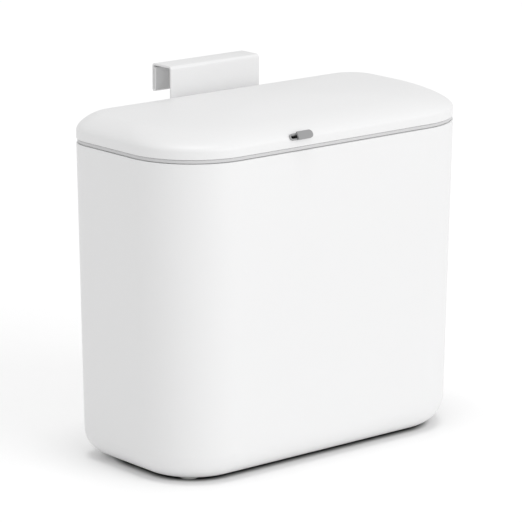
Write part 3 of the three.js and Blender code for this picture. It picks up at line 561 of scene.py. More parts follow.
class Form:
    """A mesh while it is being shaped with bmesh operators."""

    def __init__(self) -> None:
        """Starts empty."""
        self.bm = bmesh.new()

    def _loop(self, level: Level, station: float, keep_face: bool) -> list[bmesh.types.BMEdge]:
        """Adds one outline.

        Args:
            level: The outline.
            station: The height that it is drawn at until the skin is made.
            keep_face: True to leave it filled, as a cap.

        Returns:
            Its edges.
        """
        known = set(self.bm.edges)
        outline = level.outline
        plan = (
            (-outline.half_width, outline.front), (outline.half_width, outline.front),
            (outline.half_width, outline.back), (-outline.half_width, outline.back))
        corners = [self.bm.verts.new((x, y, station)) for x, y in plan]
        self.bm.faces.new(corners)
        for pair, radius in ((corners[:2], outline.front_radius), (corners[2:], outline.back_radius)):
            bmesh.ops.bevel(
                self.bm, geom=pair, offset=radius, offset_type="OFFSET", segments=CORNER_SEGMENTS,
                profile=0.5, affect="VERTICES", material=-1, clamp_overlap=False)
        edges = [edge for edge in self.bm.edges if edge not in known]
        if not keep_face:
            bmesh.ops.delete(self.bm, geom=list(edges[0].link_faces), context="FACES_ONLY")
        return edges

    def loft(self, levels: Sequence[Level], closed: bool = False) -> "Form":
        """Skins a chain of outlines.

        The outlines are skinned as an evenly spaced stack, in which neighbours at one height can't be
        mistaken for each other's mirror image, and are then moved to their own heights.

        Args:
            levels: The outlines, in order along the skin.
            closed: True joins the last to the first, as in a ring; False caps both.

        Returns:
            The form.
        """
        last = len(levels) - 1
        loops = [self._loop(level, n * MM, not closed and n in (0, last)) for n, level in enumerate(levels)]
        rings = [{vert for edge in loop for vert in edge.verts} for loop in loops]
        pairs = list(zip(loops, loops[1:]))
        if closed:
            pairs.append((loops[-1], loops[0]))
        for first, second in pairs:
            bmesh.ops.bridge_loops(self.bm, edges=first + second)
        for ring, level in zip(rings, levels):
            for vert in ring:
                vert.co.z = level.z
        return self

    def bar(
            self, radius: float, start: Sequence[float], end: Sequence[float],
            sides: int = ROUND_SIDES) -> "Form":
        """Adds a round bar between two points.

        Args:
            radius: Its radius.
            start: The middle of one end.
            end: The middle of the other end.
            sides: Its sides.

        Returns:
            The form.
        """
        first, second = Vector(start), Vector(end)
        along = second - first
        turn = along.to_track_quat("Z", "Y").to_matrix().to_4x4()
        bmesh.ops.create_cone(
            self.bm, cap_ends=True, segments=sides, radius1=radius, radius2=radius, depth=along.length,
            matrix=Matrix.Translation((first + second) / 2) @ turn)
        return self

    def block(self, low: Sequence[float], high: Sequence[float]) -> "Form":
        """Adds a block between two corners.

        Args:
            low: Its lowest corner.
            high: Its highest corner.

        Returns:
            The form.
        """
        first, second = Vector(low), Vector(high)
        size = second - first
        bmesh.ops.create_cube(
            self.bm, size=1.0,
            matrix=Matrix.Translation((first + second) / 2) @ Matrix.Diagonal((*size, 1.0)))
        return self

    def prism(self, profile: Sequence[tuple[float, float]], start: float, end: float) -> "Form":
        """Extrudes an outline drawn on (y, z) along X.

        Args:
            profile: Its corners.
            start: The first x.
            end: The last x.

        Returns:
            The form.
        """
        face = self.bm.faces.new([self.bm.verts.new((start, y, z)) for y, z in profile])
        grown = bmesh.ops.extrude_face_region(self.bm, geom=[face])["geom"]
        moved = [item for item in grown if isinstance(item, bmesh.types.BMVert)]
        bmesh.ops.translate(self.bm, verts=moved, vec=(end - start, 0, 0))
        return self

    def turned(
            self, profile: Sequence[tuple[float, float]], closed: bool = False,
            sides: int = ROUND_SIDES) -> "Form":
        """Spins a profile about the Z axis.

        Args:
            profile: Points of (radius, height).
            closed: True if the profile is a ring that doesn't touch the axis.
            sides: Steps in the full turn.

        Returns:
            The form.
        """
        verts = [self.bm.verts.new((radius, 0, height)) for radius, height in profile]
        edges = [self.bm.edges.new(pair) for pair in zip(verts, verts[1:])]
        if closed:
            edges.append(self.bm.edges.new((verts[-1], verts[0])))
        bmesh.ops.spin(
            self.bm, geom=verts + edges, cent=(0, 0, 0), axis=(0, 0, 1), angle=math.tau, steps=sides,
            use_merge=True)
        bmesh.ops.remove_doubles(self.bm, verts=self.bm.verts, dist=MERGE)
        return self

    def plate(
            self, low: Sequence[float], high: Sequence[float], radius: float, depth: float,
            left_radius: float | None = None) -> "Form":
        """Adds a flat plate on (x, z) with round corners, its front face at y = 0.

        Args:
            low: Lowest x and z.
            high: Highest x and z.
            radius: The corners' radius.
            depth: Its thickness along +Y.
            left_radius: The two left corners' radius, if it isn't the same.

        Returns:
            The form.
        """
        corners = [
            self.bm.verts.new((x, 0, z))
            for x, z in ((high[0], low[1]), (high[0], high[1]), (low[0], high[1]), (low[0], low[1]))]
        self.bm.faces.new(corners)
        for pair, size in ((corners[:2], radius), (corners[2:], left_radius or radius)):
            bmesh.ops.bevel(
                self.bm, geom=pair, offset=size, offset_type="OFFSET", segments=CORNER_SEGMENTS // 2,
                profile=0.5, affect="VERTICES", material=-1, clamp_overlap=False)
        bmesh.ops.remove_doubles(self.bm, verts=self.bm.verts, dist=MERGE)
        bmesh.ops.solidify(self.bm, geom=list(self.bm.faces), thickness=depth)
        self.drop_front_to_zero()
        return self

    def drop_front_to_zero(self) -> None:
        """Moves the form along Y until its front face is at 0."""
        nearest = min(vert.co.y for vert in self.bm.verts)
        bmesh.ops.translate(self.bm, verts=self.bm.verts, vec=(0, -nearest, 0))

    def round_edges(self, radius: float, segments: int = 3, angle: float = math.radians(40)) -> "Form":
        """Rounds every edge that is sharper than an angle.

        Args:
            radius: The rounding.
            segments: Its facets.
            angle: The least angle between two faces that counts as an edge.

        Returns:
            The form.
        """
        sharp = [
            edge for edge in self.bm.edges if len(edge.link_faces) == 2 and edge.calc_face_angle(0.0) > angle]
        bmesh.ops.bevel(
            self.bm, geom=sharp, offset=radius, offset_type="OFFSET", segments=segments, profile=0.5,
            affect="EDGES", material=-1, clamp_overlap=True)
        return self

    def moved(self, matrix: Matrix) -> "Form":
        """Moves everything by a matrix."""
        bmesh.ops.transform(self.bm, matrix=matrix, verts=self.bm.verts)
        return self

    def piece(self, name: str) -> "Piece":
        """Ends shaping and makes the object.

        Args:
            name: The piece's name.

        Returns:
            The piece.
        """
        bmesh.ops.recalc_face_normals(self.bm, faces=self.bm.faces)
        mesh = bpy.data.meshes.new(name)
        self.bm.to_mesh(mesh)
        self.bm.free()
        thing = bpy.data.objects.new(name, mesh)
        bpy.context.scene.collection.objects.link(thing)
        return Piece(thing)


class Piece:
    """A finished shape: an object whose place is in its mesh."""

    def __init__(self, thing: bpy.types.Object) -> None:
        """Wraps an object.

        Args:
            thing: The Blender object.
        """
        self.thing = thing

    @classmethod
    def from_node(cls, node: str) -> Form:
        """Starts a form from a merged copy of a CAD node.

        Args:
            node: The CAD node.

        Returns:
            The form.
        """
        form = Form()
        form.bm.from_mesh(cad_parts[node].data)
        bmesh.ops.remove_doubles(form.bm, verts=form.bm.verts, dist=MERGE)
        bmesh.ops.dissolve_limit(
            form.bm, angle_limit=math.radians(1), verts=form.bm.verts, edges=form.bm.edges)
        return form

    def apply(self) -> None:
        """Makes the modifiers' result the mesh."""
        bpy.context.view_layer.update()
        graph = bpy.context.evaluated_depsgraph_get()
        mesh = bpy.data.meshes.new_from_object(self.thing.evaluated_get(graph))
        self.thing.modifiers.clear()
        bm = bmesh.new()
        bm.from_mesh(mesh)
        bmesh.ops.dissolve_degenerate(bm, dist=MERGE, edges=bm.edges)
        bm.to_mesh(mesh)
        bm.free()
        self.thing.data = mesh

    def merge(self, tool: "Form | Piece", how: Merge) -> "Piece":
        """Joins to, cuts from or keeps within a tool shape.

        Args:
            tool: The tool, which is used up.
            how: What the tool does.

        Returns:
            The piece.
        """
        helper = tool.piece("tool") if isinstance(tool, Form) else tool
        boolean = self.thing.modifiers.new("merge", "BOOLEAN")
        boolean.operation = how.value
        boolean.solver = "EXACT"
        boolean.object = helper.thing
        self.apply()
        bpy.data.objects.remove(helper.thing)
        return self

    def ease(self, width: float, segments: int = 3, angle: float = math.radians(30)) -> "Piece":
        """Rounds the piece's sharp edges.

        Args:
            width: The rounding.
            segments: Its facets.
            angle: The least angle between two faces that counts as an edge.

        Returns:
            The piece.
        """
        bevel = self.thing.modifiers.new("edges", "BEVEL")
        bevel.width = width
        bevel.segments = segments
        bevel.limit_method = "ANGLE"
        bevel.angle_limit = angle
        self.apply()
        return self

    def settle(self, body: Body, slot: Slot, *nodes: str) -> bpy.types.Object:
        """Dresses the piece, puts it on its body and lets it stand for CAD nodes.

        Args:
            body: The body it rides on.
            slot: Its material slot.
            nodes: The CAD nodes that it replaces.

        Returns:
            The Blender object.
        """
        mesh = self.thing.data
        mesh.materials.clear()
        mesh.materials.append(material_for(slot))
        mesh.shade_smooth()
        mesh.set_sharp_from_angle(angle=SMOOTH_ANGLE)
        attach(self.thing, body.value)
        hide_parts(*nodes)
        LOG.info("%s: %d faces, on %s, %s", self.thing.name, len(mesh.polygons), body.value, slot.value)
        return self.thing


def middle(node: str) -> Vector:
    """The middle of a CAD node's box."""
    low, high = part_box(node)
    return (low + high) / 2


# ---------------------------------------------------------------------------------------------- the plan


@dataclass(frozen=True)
class Plan:
    """Heights and outlines that the bin, ring and lid share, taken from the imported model."""

    front_radius: float = 53 * MM
    back_radius: float = 26 * MM
    plinth_proud: float = 0.3 * MM
    wall: float = 2.4 * MM

    @property
    def rim(self) -> Outline:
        """The outline of bin and lid where they meet."""
        low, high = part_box("bin_body")
        return Outline(high.x, low.y, high.y - self.plinth_proud, self.front_radius, self.back_radius)

    @property
    def rim_z(self) -> float:
        """The height of the bin's rim."""
        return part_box("bin_body")[1].z

    @property
    def ring_top(self) -> float:
        """The height of the ring's upper face, in which the keeper lies flush."""
        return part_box("lock_keeper")[1].z

    @property
    def band_bottom(self) -> float:
        """The lower edge of the band that the ring hangs inside the bin."""
        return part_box("rim_ring")[0].z

    @property
    def lid_bottom(self) -> float:
        """The lid's lower edge."""
        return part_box("lid_shell")[0].z

    @property
    def hinge(self) -> Vector:
        """A point on the lid hinge's axis."""
        low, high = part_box("hinge_pin_1")
        return Vector((0, (low.y + high.y) / 2, (low.z + high.z) / 2))

    def mouth(self, outset: float) -> Outline:
        """The ring's opening, moved outwards by an amount."""
        band_width = 11 * MM
        deck = 26 * MM
        side = self.wall + SIDE_GAP + band_width
        rim = self.rim
        return Outline(
            rim.half_width - side + outset, rim.front + side - outset, rim.back - deck + outset,
            40 * MM + outset, 14 * MM + outset)


PLAN = Plan()


# ---------------------------------------------------------------------------------------------- bin


@dataclass
class BinBody:
    """The tapered bin with its screw bosses, foot seats, bumper seats and hook plinth."""

    side_draft: float = math.radians(1.0)
    front_draft: float = math.radians(1.42)
    back_draft: float = math.radians(0.6)
    bottom_radius: float = 21 * MM
    rim_ease: float = 0.7 * MM
    boss_radius: float = 4.8 * MM
    boss_length: float = 24 * MM
    bottom_steps: int = 20

    def outline(self, z: float, inset: float) -> Outline:
        """The tapered outline at a height.

        Args:
            z: The height.
            inset: How far it is moved in.

        Returns:
            The outline.
        """
        drop = PLAN.rim_z - z
        side = math.tan(self.side_draft) * drop + inset
        front = math.tan(self.front_draft) * drop + inset
        back = math.tan(self.back_draft) * drop + inset
        rim = PLAN.rim
        return Outline(
            rim.half_width - side, rim.front + front, rim.back - back,
            rim.front_radius - (side + front) / 2, max(rim.back_radius - (side + back) / 2, LEAST_RADIUS))

    def bottom(self, radius: float, floor: float, wall: float) -> list[Level]:
        """The rounding from the flat bottom up to the wall.

        Args:
            radius: The rounding.
            floor: The flat's height.
            wall: How far inside the outer skin it is.

        Returns:
            The levels from the flat upwards.
        """
        levels = []
        for step in range(self.bottom_steps + 1):
            angle = step / self.bottom_steps * math.pi / 2
            z = floor + radius * (1 - math.cos(angle))
            levels.append(self.outline(z, radius * (1 - math.sin(angle)) + wall).at(z))
        return levels

    def levels(self) -> list[Level]:
        """The whole skin, from the outer bottom over the rim to the inner floor."""
        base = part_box("bin_body")[0].z
        rim_z = PLAN.rim_z
        outer = self.bottom(self.bottom_radius, base, 0)
        outer += eased(self.outline(rim_z, 0), rim_z, self.rim_ease, True)
        inner = self.bottom(self.bottom_radius - PLAN.wall, base + PLAN.wall, PLAN.wall)
        inner.append(self.outline(rim_z - self.rim_ease, PLAN.wall).at(rim_z - self.rim_ease))
        inner.append(self.outline(rim_z, PLAN.wall - self.rim_ease / 3).at(rim_z))
        return [*outer, *reversed(inner)]

    def additions(self) -> Form:
        """The six screw bosses."""
        form = Form()
        top = PLAN.band_bottom - SEAT_GAP
        for number in range(1, 7):
            spot = middle(f"ring_screw_{number}")
            form.bar(self.boss_radius, (spot.x, spot.y, top - self.boss_length), (spot.x, spot.y, top))
        return form

    def plinth(self) -> Form:
        """The low raised field behind the hook's front leg."""
        low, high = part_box("door_hook")
        border = 4 * MM
        skin = 1.4 * MM
        form = Form().plate(
            (low.x - border, low.z - border), (high.x + border, PLAN.rim_z - border * 0.75), border,
            PLAN.plinth_proud + skin)
        return form.moved(Matrix.Translation((0, PLAN.rim.back - skin, 0)))

    def cuts(self) -> Form:
        """Pilot holes, foot seats, bumper seats and the hook's screw holes."""
        form = Form()
        for number in range(1, 7):
            spot = middle(f"ring_screw_{number}")
            low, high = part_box(f"ring_screw_{number}")
            form.bar(RING_SCREW_HOLE, (spot.x, spot.y, low.z), (spot.x, spot.y, high.z))
        for number in range(1, 5):
            low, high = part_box(f"foot_{number}")
            spot = middle(f"foot_{number}")
            form.bar(
                (high.x - low.x) / 2 + SEAT_GAP, (spot.x, spot.y, low.z - SEAT_GAP),
                (spot.x, spot.y, high.z + SEAT_GAP))
        for number in (1, 2):
            low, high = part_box(f"door_bumper_{number}")
            spot = middle(f"door_bumper_{number}")
            form.bar(
                (high.x - low.x) / 2 + SEAT_GAP, (spot.x, low.y - SEAT_GAP, spot.z), (spot.x, high.y, spot.z))
            screw = middle(f"hook_screw_{number}")
            form.bar(HOOK_SCREW_HOLE, (screw.x, screw.y - 10 * MM, screw.z), (screw.x, screw.y + 10 * MM, screw.z))
        return form

    def build(self) -> None:
        """Builds the bin."""
        piece = Form().loft(self.levels()).piece("bin_moulding")
        piece.merge(self.additions(), Merge.JOIN).merge(self.plinth(), Merge.JOIN)
        piece.merge(self.cuts(), Merge.CUT)
        piece.settle(Body.BIN, Slot.WHITE_SHELL, "bin_body")


@dataclass
class SoftFeet:
    """The four feet and the two door bumpers."""

    edge: float = 0.5 * MM

    def foot(self, number: int) -> None:
        """Builds one foot: a puck with a rounded tread edge and two grip grooves.

        Args:
            number: 1 to 4.
        """
        low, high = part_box(f"foot_{number}")
        radius = (high.x - low.x) / 2
        height = high.z - low.z
        groove = 0.35 * MM
        profile = [(0, 0)]
        for share in (0.35, 0.62):
            profile += [
                (radius * share, 0), (radius * share + groove, groove), (radius * share + 2 * groove, 0)]
        profile += arc(radius - self.edge, self.edge, self.edge, -90, 0)
        profile += [(radius, height), (0, height)]
        form = Form().turned(profile)
        spot = middle(f"foot_{number}")
        form.moved(Matrix.Translation((spot.x, spot.y, low.z)))
        form.piece(f"foot_pad_{number}").settle(Body.BIN, Slot.SOFT_RUBBER, f"foot_{number}")

    def bumper(self, number: int) -> None:
        """Builds one bumper: a tapered stud with a dished tip.

        Args:
            number: 1 or 2.
        """
        low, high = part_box(f"door_bumper_{number}")
        base = (high.x - low.x) / 2
        tip = base * 0.78
        length = high.y - low.y
        round_edge = 1.2 * MM
        profile = [(0, 0), *arc(base - self.edge, self.edge, self.edge, -90, 0)]
        profile += arc(tip - round_edge, length - round_edge, round_edge, 10, 90)
        profile += [(tip * 0.62, length), (tip * 0.56, length - 0.5 * MM), (0, length - 0.6 * MM)]
        form = Form().turned(profile)
        spot = middle(f"door_bumper_{number}")
        lay = Matrix.Rotation(-math.pi / 2, 4, "X")
        form.moved(Matrix.Translation((spot.x, low.y, spot.z)) @ lay)
        form.piece(f"bumper_stud_{number}").settle(Body.BIN, Slot.SOFT_RUBBER, f"door_bumper_{number}")

    def build(self) -> None:
        """Builds feet and bumpers."""
        for number in range(1, 5):
            self.foot(number)
        for number in (1, 2):
            self.bumper(number)


def arc(
        x: float, y: float, radius: float, start: float, end: float,
        steps: int = 6) -> list[tuple[float, float]]:
    """Points on an arc.

    Args:
        x: Its centre.
        y: Its centre.
        radius: Its radius.
        start: First angle in degrees.
        end: Last angle in degrees.
        steps: Stretches between points.

    Returns:
        The points.
    """
    angles = [math.radians(lerp(start, end, step / steps)) for step in range(steps + 1)]
    return [(x + radius * math.cos(angle), y + radius * math.sin(angle)) for angle in angles]


# ---------------------------------------------------------------------------------------------- ring


@dataclass
class RimRing:
    """The grey ring that lines the mouth, with its hinge towers, rear seal wall and lock slot."""

    setback: float = 0.8 * MM
    edge: float = 0.35 * MM
    seal_thickness: float = 4 * MM
    seal_shy: float = 0.02 * MM
    seal_height: float = 8.7 * MM
    knuckle_radius: float = 3.4 * MM
    knuckle_width: float = 9 * MM
    head_pocket: float = 3.4 * MM
    pocket_depth: float = 2.3 * MM

    def levels(self) -> list[Level]:
        """The ring's section, once round."""
        rim = PLAN.rim
        bottom, top = PLAN.band_bottom, PLAN.ring_top
        band = rim.inset(PLAN.wall + SIDE_GAP)
        lip = rim.inset(self.setback)
        seat = PLAN.rim_z + SEAT_GAP
        mouth = PLAN.mouth(0)
        soft = self.edge
        return [
            band.inset(soft).at(bottom), band.at(bottom + soft), band.at(seat),
            lip.inset(soft).at(seat), lip.at(seat + soft),
            *eased(lip, top, soft, True, 3),
            PLAN.mouth(3 * soft).at(top), PLAN.mouth(soft).at(top - soft * 0.5), mouth.at(top - 3 * soft),
            mouth.at(bottom + soft), PLAN.mouth(soft).at(bottom),
        ]

    def knuckles(self) -> list[float]:
        """Where the two hinge towers stand, along X."""
        places = []
        for number in (1, 2):
            low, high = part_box(f"hinge_pin_{number}")
            head = 1.3 * MM
            outward = 1 if high.x > 0 else -1
            places.append((low.x + high.x) / 2 - outward * head / 2)
        return places

    def seal(self) -> Piece:
        """The low wall along the back, hollowed to the lid's swing."""
        rim = PLAN.rim
        low, high = PLAN.ring_top - 0.5 * MM, PLAN.ring_top + self.seal_height
        outer, inner = rim.inset(self.setback + self.seal_shy), rim.inset(self.setback + self.seal_thickness)
        ease = 0.4 * MM
        wall = Form().loft([
            outer.at(low), outer.at(high - ease), outer.inset(ease).at(high),
            inner.inset(-ease).at(high), inner.at(high - ease), inner.at(low)], closed=True).piece("seal")
        hinge = PLAN.hinge
        wide = rim.half_width * 2
        swing = hinge.z - PLAN.lid_bottom + SEAT_GAP
        wall.merge(
            Form().block((-wide, hinge.y + SEAT_GAP, low - MM), (wide, rim.back + MM, high + MM)), Merge.KEEP)
        wall.merge(Form().bar(swing, (-wide, hinge.y, hinge.z), (wide, hinge.y, hinge.z), 192), Merge.CUT)
        return wall

    def tower(self, centre: float) -> Form:
        """One hinge tower: an upright with a round head.

        Args:
            centre: Its middle along X.

        Returns:
            The form.
        """
        hinge = PLAN.hinge
        half = self.knuckle_width / 2
        radius = self.knuckle_radius
        profile = [
            (hinge.y - radius, PLAN.ring_top - MM), (hinge.y + radius, PLAN.ring_top - MM),
            *arc(hinge.y, hinge.z, radius, 0, 180, 24)]
        return Form().prism(profile, centre - half, centre + half)

    def cuts(self) -> Form:
        """Screw pockets and shanks, the keeper's seat and the hinge pin holes."""
        form = Form()
        top = PLAN.ring_top
        for number in range(1, 7):
            spot = middle(f"ring_screw_{number}")
            form.bar(self.head_pocket, (spot.x, spot.y, top - self.pocket_depth), (spot.x, spot.y, top + MM))
        low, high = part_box("lock_keeper")
        gap = Vector((SEAT_GAP,) * 3)
        form.block(low - gap, high + Vector((SEAT_GAP, SEAT_GAP, MM)))
        hinge = PLAN.hinge
        for centre in self.knuckles():
            reach = self.knuckle_width
            form.bar(PIN_HOLE, (centre - reach, hinge.y, hinge.z), (centre + reach, hinge.y, hinge.z))
        return form

    def deep_cuts(self) -> Form:
        """Shank holes and the bolt's slot, which go right through."""
        form = Form()
        top, bottom = PLAN.ring_top, PLAN.band_bottom
        for number in range(1, 7):
            spot = middle(f"ring_screw_{number}")
            form.bar(RING_SCREW_HOLE, (spot.x, spot.y, bottom - MM), (spot.x, spot.y, top + MM))
        low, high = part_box("lock_bolt")
        clear = MM
        form.block(
            (low.x - 2.4 * clear, low.y - 2.6 * clear, bottom - MM),
            (high.x + clear, high.y + 0.8 * clear, top + MM))
        return form

    def build(self) -> None:
        """Builds the ring and its keeper."""
        piece = Form().loft(self.levels(), closed=True).piece("rim_ring_moulding")
        piece.merge(self.seal(), Merge.JOIN)
        for centre in self.knuckles():
            piece.merge(self.tower(centre), Merge.JOIN)
        piece.merge(self.cuts(), Merge.CUT).merge(self.deep_cuts(), Merge.CUT)
        piece.settle(Body.BIN, Slot.RING_GREY, "rim_ring")
        keeper = Piece.from_node("lock_keeper").round_edges(0.12 * MM, 2)
        keeper.piece("lock_plate").settle(Body.BIN, Slot.ZINC_STEEL, "lock_keeper")


# ---------------------------------------------------------------------------------------------- lid


@dataclass
class Lid:
    """The pebble lid: domed shell, liner panel and seal."""

    wall: float = 2.2 * MM
    skirt: float = 5.4 * MM
    rise: float = 11.8 * MM
    side: float = 14.6 * MM
    front: float = 26 * MM
    back: float = 9.4 * MM
    shape: float = 1.2
    top_front_radius: float = 55 * MM
    top_back_radius: float = 19 * MM
    crown: float = 5 * MM
    edge: float = 0.5 * MM
    fullness: float = 0.88
    shoulder_steps: int = 24
    crown_steps: int = 20

    @property
    def springing(self) -> float:
        """Where the dome leaves the upright skirt."""
        return PLAN.lid_bottom + self.skirt

    def shoulder(self, share: float, wall: float) -> Outline:
        """The dome's outline at a share of the shoulder.

        Args:
            share: 0 at the skirt, 1 at the crown's edge.
            wall: How far inside the outer skin.

        Returns:
            The outline.
        """
        rim = PLAN.rim
        return Outline(
            rim.half_width - self.side * share, rim.front + self.front * share, rim.back - self.back * share,
            lerp(rim.front_radius, self.top_front_radius, share),
            lerp(rim.back_radius, self.top_back_radius, share)).inset(wall)

    def dome(self, wall: float) -> list[Level]:
        """The dome from the springing to the crown's top.

        Args:
            wall: How far inside the outer skin.

        Returns:
            The levels.
        """
        rim = PLAN.rim
        top = self.shoulder(1, 0)
        narrowing = (top.back - top.front) / (rim.back - rim.front)
        crown = self.crown / narrowing**2
        rise = self.rise + self.crown - crown - wall
        levels = []
        for step in range(self.shoulder_steps + 1):
            angle = math.pi / 2 * step / self.shoulder_steps
            share = 1 - math.cos(angle) ** self.shape
            width = lerp(1, narrowing, share)
            height = rise * math.sin(angle) ** self.fullness + crown * (1 - width**2)
            levels.append(self.shoulder(share, wall).at(self.springing + height))
        for step in range(1, self.crown_steps):
            scale = 1 - step / self.crown_steps
            height = rise + crown * (1 - (narrowing * scale) ** 2)
            levels.append(self.shoulder(1, wall).scaled(scale).at(self.springing + height))
        return levels

    def inset_at(self, z: float) -> float:
        """How far the lid's front has drawn back at a height."""
        lift = min(max((z - self.springing) / self.rise, 0.0), 1.0)
        sine = lift ** (1 / self.shape)
        return self.front * (1 - (1 - sine * sine) ** (self.shape / 2))

    def ears(self) -> Form:
        """The four ears that hang from the roof beside the hinge towers."""
        form = Form()
        hinge = PLAN.hinge
        radius = 3.4 * MM
        ear = 5 * MM
        roof = self.springing + self.rise - self.wall * 0.6
        half = RimRing().knuckle_width / 2 + SIDE_GAP
        profile = [
            (hinge.y + radius * 0.4, roof), (hinge.y - radius, roof),
            *arc(hinge.y, hinge.z, radius, 180, 360, 24)]
        for centre in RimRing().knuckles():
            for start in (centre - half - ear, centre + half):
                form.prism(profile, start, start + ear)
        return form

    def bosses(self) -> Form:
        """The four screw bosses that carry the liner."""
        form = Form()
        roof = self.springing + self.rise + self.crown * 0.46 - self.wall / 2
        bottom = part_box("lid_inner_panel")[1].z + SEAT_GAP
        for number in range(1, 5):
            spot = middle(f"lid_screw_{number}")
            form.bar(3.6 * MM, (spot.x, spot.y, bottom), (spot.x, spot.y, roof))
        return form

    def pin_cuts(self) -> Form:
        """The pins' holes, the towers' notches and the liner screws' pilots."""
        form = Form()
        hinge = PLAN.hinge
        for centre in RimRing().knuckles():
            reach = PIN_REACH
            form.bar(PIN_HOLE, (centre - reach, hinge.y, hinge.z), (centre + reach, hinge.y, hinge.z))
        for number in range(1, 5):
            spot = middle(f"lid_screw_{number}")
            low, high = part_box(f"lid_screw_{number}")
            form.bar(LINER_SCREW_HOLE, (spot.x, spot.y, low.z), (spot.x, spot.y, high.z + 0.6 * MM))
        return form

    def notches(self) -> Form:
        """Room in the rear wall for the towers as the lid swings."""
        form = Form()
        hinge = PLAN.hinge
        half = RimRing().knuckle_width / 2 + SIDE_GAP
        radius = RimRing().knuckle_radius
        for centre in RimRing().knuckles():
            form.block(
                (centre - half, hinge.y, PLAN.lid_bottom - 5 * MM),
                (centre + half, PLAN.rim.back + 5 * MM, hinge.z + radius + SIDE_GAP))
        return form

    def swing_cut(self) -> Piece:
        """What the rear edge must lose to swing down in front of the seal wall."""
        hinge = PLAN.hinge
        wide = PLAN.rim.half_width * 2
        tool = Form().block(
            (-wide, hinge.y, PLAN.lid_bottom - 5 * MM),
            (wide, PLAN.rim.back + 5 * MM, hinge.z)).piece("swing")
        radius = hinge.z - PLAN.lid_bottom
        return tool.merge(
            Form().bar(radius, (-2 * wide, hinge.y, hinge.z), (2 * wide, hinge.y, hinge.z), 192), Merge.CUT)

    def shell(self) -> None:
        """Builds the domed shell."""
        rim = PLAN.rim
        bottom = PLAN.lid_bottom
        outer = [*eased(rim, bottom, self.edge, False), *self.dome(0)]
        inner = [rim.inset(self.wall).at(bottom), *self.dome(self.wall)]
        piece = Form().loft([*reversed(inner), *outer]).piece("lid_moulding")
        piece.merge(self.bosses(), Merge.JOIN).merge(self.ears(), Merge.JOIN)
        piece.merge(self.pin_cuts(), Merge.CUT).merge(self.notches(), Merge.CUT)
        piece.merge(LidLock().opening(), Merge.CUT)
        piece.merge(self.swing_cut(), Merge.CUT)
        piece.settle(Body.LID, Slot.WHITE_SHELL, "lid_shell")

    def liner(self) -> None:
        """Builds the liner panel with its shallow dished field."""
        low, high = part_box("lid_inner_panel")
        outline = PLAN.rim.inset(self.wall + SIDE_GAP)
        soft = 0.3 * MM
        border = 15 * MM
        dish = 0.8 * MM
        field = Outline(
            outline.half_width - border, outline.front + border, high.y - border * 0.8,
            outline.front_radius - border * 0.6, 12 * MM)
        levels = [
            field.inset(dish).at(low.z + dish), field.at(low.z),
            outline.inset(soft).at(low.z), outline.at(low.z + soft),
            outline.at(high.z - soft), outline.inset(soft).at(high.z)]
        piece = Form().loft(levels).piece("lid_liner")
        wide = PLAN.rim.half_width * 2
        piece.merge(
            Form().block((-wide, high.y, low.z - MM), (wide, high.y + 4 * border, high.z + MM)), Merge.CUT)
        bolt_low, bolt_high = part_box("lock_bolt")
        room = Form().block(
            (bolt_low.x - 10.4 * MM, outline.front - MM, low.z - MM),
            (bolt_high.x + 5 * MM, bolt_high.y + 0.8 * MM, high.z + MM))
        piece.merge(room, Merge.CUT)
        holes = Form()
        for number in range(1, 5):
            spot = middle(f"lid_screw_{number}")
            holes.bar(LINER_SCREW_HOLE, (spot.x, spot.y, low.z - MM), (spot.x, spot.y, high.z + MM))
        piece.merge(holes, Merge.CUT)
        piece.settle(Body.LID, Slot.WHITE_SHELL, "lid_inner_panel")

    def seal(self) -> None:
        """Builds the seal under the liner: a flat foot with a round bead."""
        low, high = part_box("lid_gasket")
        width = 2.4 * MM
        start = high.x - width - PLAN.mouth(0).half_width
        bead = width / 2
        levels = []
        for x, z in arc(0, low.z + bead, bead, 180, 360, 10):
            levels.append(PLAN.mouth(start + bead + x).at(z))
        waist = bead * 0.35
        levels += [
            PLAN.mouth(start + width - waist).at(low.z + 2 * bead - 0.4 * MM),
            PLAN.mouth(start + width).at(high.z - 0.4 * MM), PLAN.mouth(start + width).at(high.z),
            PLAN.mouth(start).at(high.z), PLAN.mouth(start).at(high.z - 0.4 * MM),
            PLAN.mouth(start + waist).at(low.z + 2 * bead - 0.4 * MM)]
        Form().loft(levels, closed=True).piece("lid_seal").settle(Body.LID, Slot.SOFT_RUBBER, "lid_gasket")

    def build(self) -> None:
        """Builds the lid."""
        self.shell()
        self.liner()
        self.seal()


# ---------------------------------------------------------------------------------------------- lock


